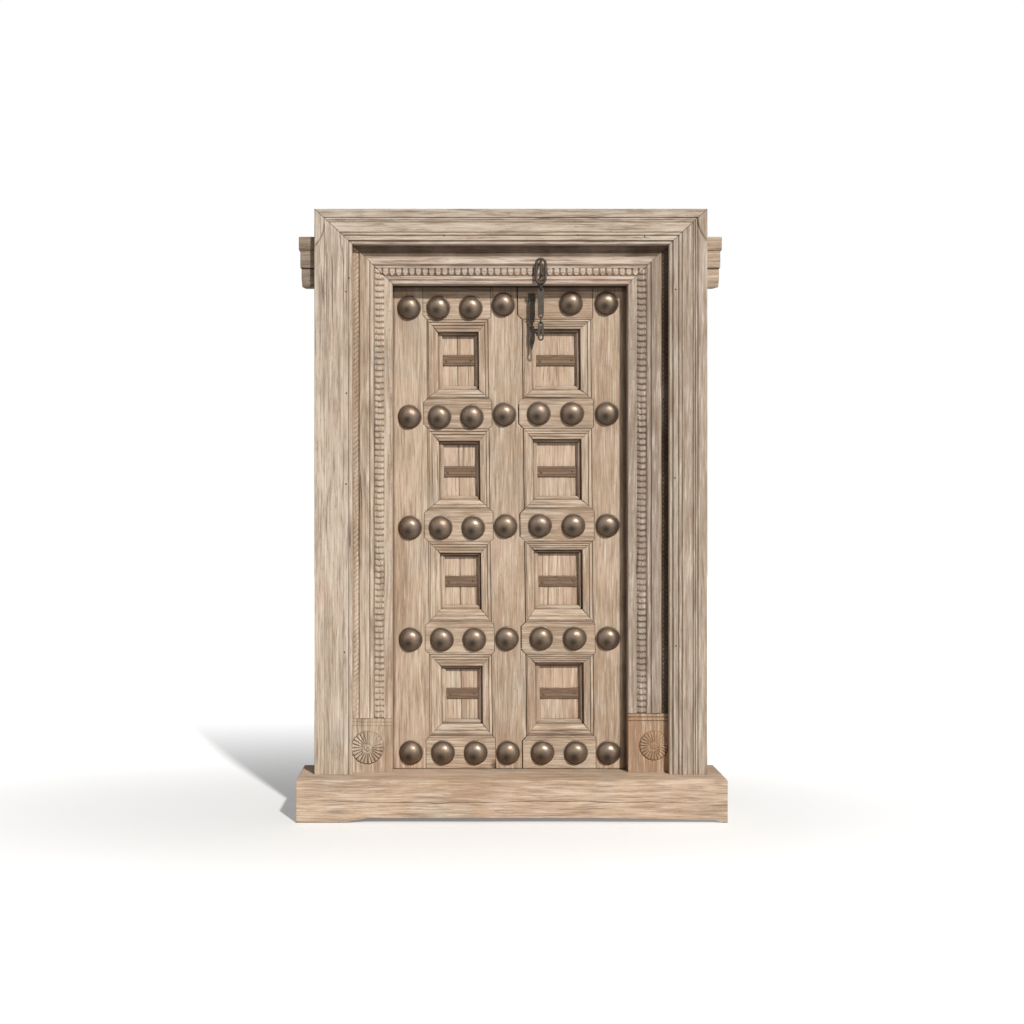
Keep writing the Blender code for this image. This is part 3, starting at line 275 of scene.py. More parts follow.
def iron(name, look, colour, rust, shine, roughness, metal):
    """Old forged iron: a brown patina with rust in patches and paler rubbed spots."""
    material = bpy.data.materials.new(name)
    t = Tree(material)
    place = t.node("ShaderNodeTexCoord", {}, output="Object")
    grime = t.attribute("grime")
    patches = t.noise(place, 42.0, 5.0, 0.6)
    specks = t.noise(place, 260.0, 4.0, 0.7)
    hammer = t.noise(place, 90.0, 2.0, 0.5)
    skin = t.blend(patches.ramp(0.46, 0.66), rgb(colour), rgb(rust))
    skin = t.blend(specks.ramp(0.56, 0.76) * 0.6, skin, rgb(look.iron_pits_and_dark_reflection))
    skin = t.blend(specks.ramp(0.42, 0.26) * 0.7, skin, rgb(shine))
    # the grime attribute darkens seams and the studs' feet with dirt, and lays a painted dark reflection low
    # on each stud's dome
    skin = t.blend(grime * 0.9, skin, rgb(look.iron_pits_and_dark_reflection))
    t.finish(Base_Color=skin, Roughness=roughness + patches.ramp(0.4, 0.7) * 0.16 + grime * 0.25,
             Metallic=metal - patches.ramp(0.5, 0.75) * 0.25,
             Normal=t.bump(hammer + specks * 0.25, 0.0009, 0.7))
    return material


# ---- shapes


class Work:
    """The surfaces of one piece while it is made, each with its grain and grime."""

    def __init__(self):
        self.points = []
        self.faces = []
        self.marks = []

    def sheet(self, rows, across=0.0, seed=0.0, grime=0.0, wrap=False, cap=False):
        """Quads over rows of points; wrap joins the ends of each row, and cap closes the first and last."""
        rows = np.asarray(rows, float)
        count, width = rows.shape[:2]
        start = len(self.points)
        self.points += rows.reshape(-1, 3).tolist()
        marks = np.zeros((count, width, 3))
        marks[..., 0], marks[..., 1], marks[..., 2] = across, seed, grime
        self.marks += marks.reshape(-1, 3).tolist()
        last = width if wrap else width - 1
        for r in range(count - 1):
            low, high = start + r * width, start + (r + 1) * width
            for c in range(last):
                n = (c + 1) % width
                self.faces.append((low + c, low + n, high + n, high + c))
        if cap:
            self.faces.append(tuple(range(start, start + width)))
            self.faces.append(tuple(range(start + (count - 1) * width, start + count * width)))
        return self

    def piece(self, name, body, node, slot, finish, smooth=35):
        """The finished object: it rides on a body and stands for a node; the slot argument is not used."""
        mesh = bpy.data.meshes.new(name)
        mesh.from_pydata(self.points, [], self.faces)
        marks = np.asarray(self.marks, np.float32)
        # the leaves' outer edges: a dark line down the left one, painted shade over the right one in its
        # jamb's rebate
        marks[:, 2] = np.maximum(marks[:, 2], edge_line_and_shade(np.asarray(self.points), body))
        for k, label in enumerate(("across", "seed", "grime")):
            mesh.attributes.new(label, "FLOAT", "POINT").data.foreach_set("value", marks[:, k].copy())
        shape = bmesh.new()
        shape.from_mesh(mesh)
        bmesh.ops.remove_doubles(shape, verts=shape.verts, dist=1e-7)
        bmesh.ops.recalc_face_normals(shape, faces=shape.faces)
        shape.to_mesh(mesh)
        shape.free()
        mesh.shade_smooth()
        mesh.set_sharp_from_angle(angle=math.radians(smooth))
        mesh.materials.append(finish)
        made = bpy.data.objects.new(name, mesh)
        bpy.context.scene.collection.objects.link(made)
        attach(made, body)
        if node:
            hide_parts(node)
        return made


def edge_line_and_shade(places, body):
    """Darkening along the leaves' outer edges beside the jambs: a dark line on the left leaf, painted shade
    on the right leaf in its jamb's rebate.
    """
    x, y, _ = places.T
    if body == "left_leaf":
        return 0.95 * np.clip((LEFT_JOINT - x) / 0.0015 + 0.5, 0, 1) * (y > LEAF_FRONT - 0.003)
    if body != "right_leaf":
        return 0.0 * x
    return 0.85 * np.clip((x - RIGHT_STILE_LIMIT) / 0.004, 0, 1) * (y > LEAF_FRONT - 0.003)


def ridge(value, low, high, soft):
    """1 between two values and 0 outside, with soft edges of a given width; over arrays."""
    rise = np.clip((value - low) / soft + 0.5, 0, 1)
    fall = np.clip((high - value) / soft + 0.5, 0, 1)
    return rise * rise * (3 - 2 * rise) * fall * fall * (3 - 2 * fall)


def wobble(x, y, z, scale, amount):
    """A small, smooth unevenness over arrays of places."""
    flat = [noise.noise(Vector((a, b, c)) * scale) for a, b, c in zip(x.ravel(), y.ravel(), z.ravel())]
    return amount * np.array(flat).reshape(x.shape)


def lean_shift(x, z):
    """How far the lean of the leaves' uprights moves a point sideways; over arrays."""
    share = np.clip((PIVOT_X - np.abs(x)) / LEAN_FADE, 0, 1)
    return -LEAN * share * (z - LEAN_HEIGHT)


# ---- frame

SCROLL_SPANS = {-1: (0.1180, 0.1405), 1: (0.1175, 0.1410)}  # from the edge of the opening, on each side
SCROLL_END = 0.141
HEAD_LINES = ((0.011, 0.0025), (0.061, 0.0025), (0.0665, 0.0025))  # place and width of each cut line
JAMB_LINES = ((0.0635, 0.0025), (0.0785, 0.0025), (0.1165, 0.0030))
LINE_DEPTH = 0.003
LINE_GRIME = 0.85
HORN_STEPS = ((0.178, 0.131, 0.0), (0.131, 0.069, 0.005), (0.069, 0.064, 0.011), (0.064, 0.0, 0.009))
HORN_GROOVE, HORN_LOWEST = 0.011, 0.009  # how far these steps of a horn are set back


def mitre_height(x):
    """Height of the inner frame's mitre over a half-width."""
    rise = (HEAD_INNER - OPENING_TOP) / (ARCHITRAVE_INNER - OPENING_HALF_WIDTH)
    return OPENING_TOP + (x - OPENING_HALF_WIDTH) * rise


def mitre_width(z):
    """Half-width of the inner frame's mitre at a height."""
    run = (ARCHITRAVE_INNER - OPENING_HALF_WIDTH) / (HEAD_INNER - OPENING_TOP)
    return OPENING_HALF_WIDTH + (z - OPENING_TOP) * run


def spots_across(bands, edges):
    """Distances over a carved face: even steps in each band, and close steps at each edge."""
    spots = [bands[-1][1]]
    for low, high, step in bands:
        spots += list(np.arange(low, high, step))
    for edge in edges:
        spots += [edge - 0.0007, edge, edge + 0.0007]
    spots = np.array(sorted(spots))
    spots = spots[(spots >= bands[0][0]) & (spots <= bands[-1][1])]
    return spots[np.concatenate([[True], np.diff(spots) > 0.0003])]


def with_lines(d, depth, grime, lines, soft):
    """The depth and grime of a carved face with straight lines cut along it."""
    for at, width in lines:
        cut = ridge(d, at, at + width, soft)
        depth = depth + LINE_DEPTH * cut
        grime = np.maximum(grime, LINE_GRIME * cut)
    return depth, grime


def reels(d, z, foot, carving, crescent_shade):
    """Worn reels one over another, parted by fine bowed cuts: their height and grime, and on the right jamb
    painted shade low on each reel.
    """
    low, high = carving.reel_start, carving.reel_end
    half = (high - low) / 2
    across = np.clip((d - low - half) / half, -1, 1)
    place = (z - foot + 0.0016 * (1 - across ** 2)) / carving.reel_pitch
    off = np.abs(place - np.floor(place) - 0.5) * carving.reel_pitch
    length = carving.reel_length * (1 - 0.10 * across ** 2)
    block = np.clip((length / 2 + 0.0010 - off) / 0.0026, 0, 1)
    crown = 1 - 0.55 * np.abs(across) ** 5 - 0.22 * (2 * off / carving.reel_pitch) ** 2
    worn = 1 + 0.35 * np.sin(np.floor(place) * 12.9898) * np.sin(np.floor(place) * 4.1414)
    inside = ridge(d, low, high, 0.0012)
    height = carving.strip_depth * inside - carving.reel_rise * block * crown * inside * (0.85 + 0.15 * worn)
    side = ridge(np.abs(across), 0.90, 1.12, 0.08)
    patchy = 0.75 + 0.35 * np.sin(z * 61) * np.sin(z * 23 + 1)
    # On the right jamb the gaps between reels are darker, and each reel gets a dark crescent at its low
    # corner on the opening side: painted shade on the side away from the lamp.
    between, beside = (0.72, 0.35) if crescent_shade else (0.42, 0.20)
    grime = inside * np.clip((1 - block) * between * patchy + side * beside, 0, 1)
    if crescent_shade:
        low_corner = np.hypot((across + 0.72) * 0.9, (off - 0.0035) / carving.reel_pitch * 2)
        grime = np.maximum(grime, inside * np.clip(1 - low_corner / 0.34, 0, 1))
    return height, grime


def running_scroll(d, z, low, high, pitch, depth, soil):
    """A raised stem that swings from side to side round sunk eyes: its height and grime, where a soil over
    0.5 also lays painted shade over the whole strip.
    """
    half = (high - low) / 2
    across = (d - low - half) / half
    place = z / pitch
    turn = np.floor(place)
    sway = np.where(turn % 2 == 0, 1.0, -1.0)
    off = (place - turn - 0.5) * pitch
    stem = np.exp(-(((across - 0.55 * np.sin(place * math.pi)) / 0.30) ** 2))
    eye = np.exp(-((np.hypot((across + 0.36 * sway) * half, off) / (0.26 * pitch)) ** 2))
    curl = np.exp(-(((np.hypot((across + 0.36 * sway) * half, off) - 0.42 * pitch) / (0.13 * pitch)) ** 2))
    inside = ridge(d, low, high, 0.001)
    raised = np.clip(stem + curl, 0, 1) * (1 - eye)
    height = inside * (depth * (1 - raised) + depth * 0.8 * eye)
    # a soil over 0.5 darkens the whole strip evenly: painted shade
    return height, inside * np.clip(max(0.0, soil - 0.5) + 0.12 * soil * (1 - raised) + soil * eye, 0, 1)


def slanted_lobes(d, z, low, high, pitch, depth, soil):
    """Soft lobes that lean to one side, one over another, like a slack rope: their height and grime."""
    half = (high - low) / 2
    across = (d - low - half) / half
    turn = z / pitch + 0.42 * across + 0.10 * np.sin(across * 3.0) + 0.12 * np.sin(z * 37)
    lobe = np.abs(np.sin(turn * math.pi))
    inside = ridge(d, low, high, 0.0022)
    swell = np.sqrt(np.clip(1 - across ** 2, 0, 1))
    height = inside * depth * (1.0 - 1.5 * swell * np.sqrt(lobe))
    worn = 0.55 + 0.45 * np.sin(z * 29 + 2) * np.sin(z * 11)
    return height, inside * soil * worn * np.clip(1 - lobe / 0.36, 0, 1)


def rosette(x, z, flower, petals):
    """A flower of straight petals about a small boss: its height and grime."""
    across, up, radius, rise, start, end = flower
    dx, dz = x - across, z - up
    r = np.hypot(dx, dz)
    angle = np.degrees(np.arctan2(dz, dx)) % 360
    petal = angle * petals / 360
    valley = np.abs(petal - np.floor(petal) - 0.5) * 2
    worn = ridge(angle, start, end, 26.0)
    ring = ridge(r, 0.0175, radius, 0.004)
    rib = np.sqrt(np.clip(1 - valley ** 2, 0, 1)) * (1 - 0.75 * worn)
    boss = np.sqrt(np.clip(1 - (r / 0.0125) ** 2, 0, 1))
    hole = np.clip(1 - r / 0.0028, 0, 1)
    height = -rise * (1.3 * ring * rib + 0.9 * boss) + 0.004 * hole
    height = height + 0.0015 * ridge(r, radius - 0.001, radius + 0.003, 0.0015)
    edge = ridge(r, radius, radius + 0.0025, 0.001) * 0.5
    grime = edge + ring * np.clip((valley - 0.62) / 0.3, 0, 1) * (0.95 - 0.6 * worn)
    return height, np.clip(grime + hole + ridge(r, 0.0118, 0.0138, 0.0008) * 0.7, 0, 1)


def ring_of_jamb(side, d, front):
    """The outline round a jamb at one height: its carved face, outer side, back and rebate."""
    rebate = PIVOT_X + 0.0325
    behind = np.array([(JAMB_OUTER, FACE_BACK), (JAMB_OUTER, 0.07), (JAMB_OUTER, FRAME_BACK),
                       (0.53, FRAME_BACK), (rebate, FRAME_BACK), (rebate, LIP_BACK),
                       (OPENING_HALF_WIDTH, LIP_BACK), (OPENING_HALF_WIDTH, FACE_BACK)])
    return side * np.append(OPENING_HALF_WIDTH + d, behind[:, 0]), np.append(front, behind[:, 1])


def jamb(name, side, finish, block_finish, carving, block_top, scroll_pitch, flower):
    """A rebated upright with its carved bands, and the block with the rosette at its foot."""
    width = JAMB_OUTER - OPENING_HALF_WIDTH
    seat = LEAF_TOP + 0.0030

    def stack(d, heights, relief):
        """The jamb's outline at each height with its relief, cut off at the mitre, and its grime."""
        across, up = np.meshgrid(d, heights)
        depth, grime = relief(across, up)
        depth = depth + wobble(across * 6, up * 2.2, up * 0 + side, 6.0, 0.0005)
        rows, dirt = [], []
        for k, z in enumerate(heights):
            x, y = ring_of_jamb(side, d, FRAME_FRONT + depth[k])
            top = np.minimum(mitre_height(np.abs(x)) - MITRE_ROOM, HEAD_INNER)
            top[len(d):] = np.minimum(top[len(d):], seat)
            rows.append(np.stack([x, y, np.minimum(z, top)], 1))
            cut = np.clip(1 - (top[:len(d)] - z) / 0.001, 0, 1)
            dirt.append(np.append(np.maximum(grime[k], 0.8 * cut), np.zeros(len(x) - len(d))))
        return rows, np.array(dirt)

    def upright(d, z):
        """The carved bands: reels, a round band, a scroll and the lines between them."""
        # the right jamb's reels take painted shade at their low corners
        height, grime = reels(d, z, block_top, carving, side > 0)
        if side < 0:
            scroll = slanted_lobes(d, z, *SCROLL_SPANS[side], scroll_pitch, 0.0030, 0.80)
        else:
            # the right scroll lies in the architrave's shadow; its soil of 1.5 paints that shade over the
            # whole strip
            scroll = running_scroll(d, z, *SCROLL_SPANS[side], scroll_pitch, 0.0034, 1.5)
        middle = np.clip((d - 0.0985) / 0.0175, -1, 1)
        round_band = np.sqrt(np.clip(1 - middle ** 2, 0, 1))
        height = height - carving.band_rise * round_band + scroll[0]
        height, grime = with_lines(d, height, grime, JAMB_LINES, 0.0008)
        streak = ridge(d, 0.087, 0.099, 0.006) * (0.18 if side < 0 else 0.10)
        scallop = ridge(d, 0.004, 0.018, 0.006) * np.maximum(0, np.sin(z * 2 * math.pi / 0.034)) ** 4
        height = height + 0.0007 * scallop
        return height, np.clip(np.maximum(grime, scroll[1]) + streak + 0.08 * scallop, 0, 1)

    def block(d, z):
        """The rosette, the lines across the block's cap and one upright line inside them."""
        height, grime = rosette(side * (OPENING_HALF_WIDTH + d), z, flower, carving.petals)
        strength = 0.35 if side < 0 else 0.75
        for drop in (0.0, 0.013, 0.026):
            cut = ridge(z, block_top - drop - 0.0025, block_top - drop, 0.0012)
            height = np.where(cut > 0.5, 0, height) + 0.004 * strength * cut
            grime = np.maximum(grime, strength * cut)
        mark = ridge(d, 0.047, 0.0485, 0.0010) * ridge(z, 0.30, block_top - 0.028, 0.004)
        return height + 0.001 * mark, np.maximum(grime, 0.5 * mark)

    edges = (carving.reel_start, carving.reel_end, 0.0635, 0.066, 0.0785, 0.081, 0.116, 0.1175, 0.120)
    bands = ((0, 0.0295, 0.006), (0.0295, 0.0615, 0.0021), (0.0615, 0.081, 0.004), (0.081, 0.116, 0.003),
             (0.116, SCROLL_END, 0.0013), (SCROLL_END, width, 0.02))
    even = ((0, SCROLL_END, 0.0017), (SCROLL_END, width, 0.02))
    step = carving.reel_pitch / 9
    above = np.append(np.arange(block_top, HEAD_INNER, step), HEAD_INNER)
    below = np.linspace(THRESHOLD_TOP + GAP, block_top, int((block_top - THRESHOLD_TOP) / 0.0016))
    for label, d, heights, relief, seed, wood in (
        ("_upright", spots_across(bands, edges), above, upright, 1.7, finish),
        ("_block", spots_across(even, ()), below, block, 4.4, block_finish),
    ):
        rows, dirt = stack(d, heights, relief)
        work = Work().sheet(rows, 0.0, seed + side, dirt, wrap=True)
        work.piece(name + label, "frame", name, "bleached_teak", wood)


def lintel_face(finish, carving):
    """The carved head of the inner frame: small hanging leaves between lines, mitred at both ends."""
    low, high = carving.drop_start, carving.drop_end
    d = spots_across(((0, 0.026, 0.004), (0.026, 0.056, 0.0016), (0.056, 0.134, 0.006)),
                     (0.011, 0.0135, low, high, 0.061, 0.0635, 0.0665, 0.069))
    step = carving.drop_pitch / 11
    right = np.arange(0.75, 0.25 + ARCHITRAVE_INNER / step) * step
    x, d = np.meshgrid(np.concatenate([-right[:0:-1], right]), d)
    z = OPENING_TOP + d
    place = x / carving.drop_pitch
    off = np.abs(place - np.round(place)) * carving.drop_pitch
    up = np.clip((d - low) / (high - low), 0, 1)
    half = carving.drop_width / 2
    reach = np.where(up < 0.45, half * np.sqrt(np.clip(up / 0.45, 0, 1)), half * (1.08 - 0.18 * up))
    leaf = np.clip((reach - off) / 0.0022 + 0.5, 0, 1) * ridge(d, low + 0.001, high - 0.001, 0.0016)
    inside = ridge(d, low, high, 0.0012)
    crown = 1 - 0.35 * np.clip(off / half, 0, 1) ** 2
    vein = np.clip(1 - off / 0.0012, 0, 1) * ridge(up, 0.05, 0.75, 0.1)
    depth = carving.strip_depth * inside - carving.drop_rise * leaf * crown + 0.0016 * vein * leaf
    grime = inside * np.clip((1 - leaf) * 0.8 + 0.35 * vein, 0, 1)
    depth, grime = with_lines(d, depth, grime, HEAD_LINES, 0.0010)
    # painted shadow of the architrave head, darkening the top band of the carved head
    grime = np.maximum(grime, ridge(d, 0.093, 0.145, 0.008))
    depth = depth + wobble(x * 2.2, d * 6, x * 0 + 3, 6.0, 0.0005)
    limit = mitre_width(z) - MITRE_ROOM
    grime = np.maximum(grime, 0.8 * np.clip(1 - (limit - np.abs(x)) / 0.001, 0, 1))
    x = np.clip(x, -limit, limit)
    face = np.stack([x, FRAME_FRONT + depth, z], 2)
    behind = np.stack([x, 0 * x + FACE_BACK - 0.0001, z], 2)
    rows = np.concatenate([behind[:1], face, behind[-1:]])
    work = Work().sheet(rows, 1.0, 6.1, np.pad(grime, ((1, 1), (0, 0))))
    work.piece("lintel_face", "frame", "lintel_beam", "bleached_teak", finish)


def horn(work, side):
    """The end of the head beam beyond a jamb, cut back in steps and worn along its edges."""
    corner, soft = 0.004, 0.0016
    inner = JAMB_OUTER + GAP
    bottom, top = LINTEL[0].z, HORN_STEPS[0][0]
    eased = 0.022  # height over which the lower edge is worn away
    # the left horn is darkened all over, more than the right
    worn = 0.46 if side < 0 else 0.12
    rows, dirt = [], []
    for high, low, step in HORN_STEPS:
        for z, back_off in ((high, 0.6 * soft), (high - soft, 0.0), ((high + low) / 2, 0.0),
                            (low + soft, 0.0), (low, 0.6 * soft)):
            taper = max(0.0, eased - z) * 0.003 / eased if step == HORN_LOWEST else 0.0
            end = HORN_END - step - back_off - taper
            face = FRAME_FRONT + 0.6 * step + back_off
            ring = ((inner, face), (0.66, face), (0.70, face), (end - corner, face),
                    (end - 0.3 * corner, face + 0.3 * corner), (end, face + corner), (end, 0.05),
                    (end, FRAME_BACK - corner), (end - corner, FRAME_BACK), (inner, FRAME_BACK))
            ease = 0.012 * max(0.0, 1 - z / eased) / (FRAME_BACK - FRAME_FRONT)
            rows.append([(side * x, y, bottom + z + ease * (y - FRAME_FRONT)) for x, y in ring])
            edge = 0.6 * (back_off > 0 and z not in (top, 0.0))
            dirt.append([1.0 if step == HORN_GROOVE else max(worn, edge)] * len(ring))
    work.sheet(rows, 1.0, 8.0 + side, np.array(dirt), wrap=True, cap=True)


def lintel_body(finish):
    """The head beam behind its carved face, with the lip over the leaves and the two stepped horns."""
    seat = LEAF_TOP + 0.0035
    face_low = HEAD_INNER + 0.0005
    knee = 0.4411  # where the mitre comes up to the seat over the leaves
    ends = (OPENING_HALF_WIDTH, knee, JAMB_OUTER)
    rows = []
    for x in (*[-end for end in reversed(ends)], *np.linspace(-0.4, 0.4, 17), *ends):
        lip = min(seat, max(OPENING_TOP, mitre_height(abs(x))))
        section = ((FRAME_FRONT, LINTEL_TOP - 0.002), (FRAME_FRONT, face_low), (FACE_BACK, face_low),
                   (FACE_BACK, lip), (LIP_BACK, lip), (LIP_BACK, seat), (FRAME_BACK - 0.002, seat),
                   (FRAME_BACK, seat + 0.002), (FRAME_BACK, LINTEL_TOP - 0.003),
                   (FRAME_BACK - 0.003, LINTEL_TOP), (FRAME_FRONT + 0.002, LINTEL_TOP))
        rows.append([(x, y, z) for y, z in section])
    work = Work().sheet(rows, 1.0, 7.3, 0.0, wrap=True, cap=True)
    work.piece("lintel_body", "frame", "lintel_beam", "bleached_teak", finish)
    work = Work()
    for side in (-1, 1):
        horn(work, side)
    work.piece("lintel_horns", "frame", "lintel_beam", "bleached_teak", finish)


# place and width of each of the moulding's cut lines, and how deep it is
ARCHITRAVE_LINES = ((0.0303, 0.0040, 0.0036), (0.0425, 0.0034, 0.0030), (0.0810, 0.0036, 0.0030),
                    (0.0885, 0.0036, 0.0030), (0.0975, 0.0042, 0.0040))


def moulding_depth(u, strength):
    """The architrave's section over its width: how far it lies behind its front, and its grime."""
    depth = 0.006 * (1 - np.clip((u - 0.011) / 0.0015, 0, 1))
    grime = 0.85 * ridge(u, 0.0100, 0.0124, 0.0008)
    for line, width, cut_depth in ARCHITRAVE_LINES:
        cut = np.clip(1 - np.abs(u - line) / (width / 2), 0, 1)
        depth = depth + strength * cut_depth * np.sqrt(cut)
        grime = np.maximum(grime, strength * cut)
    bead = np.sqrt(np.clip(1 - ((u - 0.0364) / 0.0050) ** 2, 0, 1))
    return depth - 0.0008 * bead, grime


def moulding_length(node, x, depth, z, dirt, across, seed, finish):
    """One length of the moulding: its face, closed behind by a flat back."""
    sides = ((0, 0), (1, 1))
    y = np.minimum(ARCHITRAVE_FRONT + depth, ARCHITRAVE_BACK - 0.001)
    y = np.pad(y, sides, constant_values=ARCHITRAVE_BACK)
    rows = np.stack([np.pad(x, sides, "edge"), y, np.pad(z, sides, "edge")], 2)
    work = Work().sheet(rows, across, seed, np.pad(dirt, sides), wrap=True)
    work.piece(node + "_moulding", "frame", node, "bleached_teak", finish)


def architrave(left_finish, right_finish, head_finish):
    """Three lengths of one planted moulding, mitred at the corners, with a tongue carved down each side."""
    width = ARCHITRAVE_OUTER - ARCHITRAVE_INNER
    narrow = (ARCHITRAVE_CROWN - HEAD_INNER) / width
    flat = 0.0975  # where the plain outer band starts
    rounding = 0.003
    lines = (0.0112, 0.0286, 0.0303, 0.0320, 0.0412, 0.0425, 0.0438, 0.0794, 0.0810, 0.0826, 0.0870, 0.0885,
             0.0900, 0.0958, 0.0975, 0.0992)
    u = spots_across(((0.0, flat, 0.0042), (flat, width - rounding, 0.0018)), lines)
    u = np.concatenate([u, [width - rounding, width - 0.001, width - 0.0003, width]])
    fall = rounding - np.sqrt(np.clip(rounding ** 2 - (u - width + rounding) ** 2, 0, 1))
    round_edge = np.where(u > width - rounding, fall, 0)
    foot = THRESHOLD_TOP + GAP
    plain_top = 1.96
    for name, side, end, strength, finish in (("architrave_left", -1, 1.996, 0.30, left_finish),
                                              ("architrave_right", 1, 2.015, 0.95, right_finish)):
        depth, grime = moulding_depth(u, strength)
        heights = np.concatenate([np.arange(foot, plain_top, 0.009),
                                  np.arange(plain_top, HEAD_INNER - 0.03, 0.004)])
        start = heights[-1]
        top = HEAD_INNER + u * narrow - MITRE_ROOM
        shares = np.concatenate([np.linspace(0, 1, 26)[1:-1], [1 - 0.012, 1.0]])
        z = np.concatenate([np.repeat(heights[:, None], len(u), 1), start + shares[:, None] * (top - start)])
        across = np.repeat(u[None], len(z), 0)
        edge = flat + 0.036 * np.clip((end + 0.076 - z) / 0.076, 0, 1) ** 2.0
        tongue = np.clip((across - edge) / 0.0012, 0, 1) * (z > end - 0.004)
        groove = np.clip(1 - np.abs(across - edge) / 0.0030, 0, 1) * (z > end - 0.004) * (z < end + 0.080)
        depth = depth + round_edge - 0.0014 * tongue + 0.0035 * groove
        depth = depth + wobble(across * 8, z * 1.6, z * 0 + side * 5, 5.0, 0.0007) * (across > 0.012)
        below = ridge(across, 0.0955, 0.0995, 0.001) * np.clip((end - z) / 0.004, 0, 1)
        seam = np.clip(1 - (top - z) / 0.0022, 0, 1)
        dirt = np.maximum(grime * (1 - 0.35 * below), 0.9 * np.maximum(groove, seam))
        moulding_length(name, side * (ARCHITRAVE_INNER + across), depth, z, dirt, 0.0, 9.5 + side, finish)
    depth, grime = moulding_depth(u, 1.0)
    grime = np.maximum(grime, 0.20 * ridge(u, flat, 0.145, 0.004))
    straight = 0.53
    middle = np.arange(-straight, straight + 0.001, 0.0106)
    shares = np.concatenate([np.linspace(0, 1, 22)[1:-1], [1 - 0.012, 1.0]])
    reach = ARCHITRAVE_INNER + u - MITRE_ROOM
    right = straight + shares[:, None] * (reach - straight)
    x = np.concatenate([-right[::-1], np.repeat(middle[:, None], len(u), 1), right])
    across = np.repeat(u[None], len(x), 0)
    depth = depth + round_edge + wobble(x * 1.6, across * 8, x * 0 + 2, 5.0, 0.0007) * (across > 0.012)
    dirt = np.maximum(grime, 0.9 * np.clip(1 - (reach - np.abs(x)) / 0.0022, 0, 1))
    moulding_length("architrave_head", x, depth, HEAD_INNER + across * narrow, dirt, 1.0, 12.4, head_finish)


def nails(finish, spots):
    """Old clenched nails, their heads hammered flush with the moulding."""
    work = Work()
    radius = 0.0030
    profile = ((1.0, -0.001), (1.0, 0.0002), (0.7, 0.0007), (0.05, 0.0009))
    for k, (x, z) in enumerate(spots):
        angle = np.linspace(0, 2 * math.pi, 9)[:-1] + k
        rings = []
        for share, rise in profile:
            wide = radius * share * (1 + 0.15 * np.sin(3 * angle + k))
            rings.append(np.stack([x + wide * np.cos(angle), 0 * angle + ARCHITRAVE_FRONT - rise,
                                   z + wide * np.sin(angle)], 1))
        work.sheet(rings, 0.0, 0.0, 0.6, wrap=True, cap=True)
    work.piece("architrave_nails", "frame", "", "dark_iron", finish)


def threshold(finish):
    """The heavy sill: a worn nosing, an eased arch below and one long split in its face."""
    end = THRESHOLD[1].x
    back = THRESHOLD[1].y
    front = -back
    top = THRESHOLD_TOP
    nosing = 0.012  # radius of the front edge
    split_at = 0.0716
    rounding = 0.0012  # of the two ends
    chamfer = 0.005
    near_ends = [side * (end - off) for side in (-1, 1) for off in (0.0015, chamfer)]
    places = np.unique(np.concatenate([np.linspace(-end, end, 260), near_ends]))
    face = np.array([0.004, 0.012, 0.024, 0.036, 0.048, 0.060, 0.0680, 0.0700, split_at, 0.0732, 0.0752,
                     0.084, 0.096, 0.108, 0.120, 0.130])
    angle = np.radians([0, 22, 45, 68, 90])
    y_top = np.array([-0.09, -0.06, -0.048, -0.02, 0.02, 0.06, 0.10, back - 0.004])
    wear_share = np.array([0.7, 0.3, 0.15, 0, 0, 0, 0, 0])
    rows, dirt = [], []
    for x in places:
        at_end = abs(x) > end - 0.001
        limit = top - 0.8 * max(0.0, abs(x) - (end - chamfer)) - 0.0008 * at_end
        inset = rounding * at_end
        rise = 0.6 * np.clip((end - x - 0.012) / 0.030, 0, 1) + 0.4 * np.clip((end - x - 0.05) / 0.40, 0, 1)
        lift = 0.017 * np.clip((x + end - 0.150) / 0.10, 0, 1) * rise
        split = 0.004 * x + 0.0022 * math.sin(x * 9 + 0.6) + 0.0012 * math.sin(x * 31)
        split += 0.0006 * math.sin(x * 83)
        heights = face + split * np.exp(-(((face - split_at) / 0.022) ** 2))
        heights[0] = face[0]
        heights = np.maximum(heights, lift + 0.004 * (face / 0.13))
        inside = np.clip((end - 0.10 - abs(x + 0.03)) / 0.08, 0, 1) * (0.6 + 0.4 * math.sin(x * 23 + 1) ** 2)
        gape = np.clip(1 - np.abs(face - split_at) / 0.0016, 0, 1) * inside
        worn = 0.0025 * (0.5 + 0.5 * math.sin(x * 5.3 + 1)) + 0.0012 * math.sin(x * 19) ** 2
        y_face = front + 0.0008 * math.sin(x * 13) + inset
        y = np.concatenate([[front + 0.003], y_face + 0.004 * gape, y_face + nosing * (1 - np.cos(angle)),
                            y_top, [back - 0.001, back - inset, back - inset, back - 0.003, 0.04, -0.04]])
        z = np.concatenate([[lift], heights, top - nosing + (nosing - worn) * np.sin(angle),
                            top - worn * wear_share, [top - 0.0005, top - 0.004, lift + 0.003], [lift] * 3])
        z = np.maximum(np.minimum(z, limit), lift)
        rows.append(np.stack([0 * y + x, y, z], 1))
        soil = 0.98 * gape + 0.25 * np.clip(1 - face / 0.02, 0, 1)
        dirt.append(np.concatenate([[0.3], soil, np.zeros(len(y) - len(face) - 1)]))
    work = Work().sheet(rows, 1.0, 14.2, np.array(dirt), wrap=True, cap=True)
    work.piece("threshold_sill", "frame", "threshold", "sanded_teak", finish)


# ---- leaves

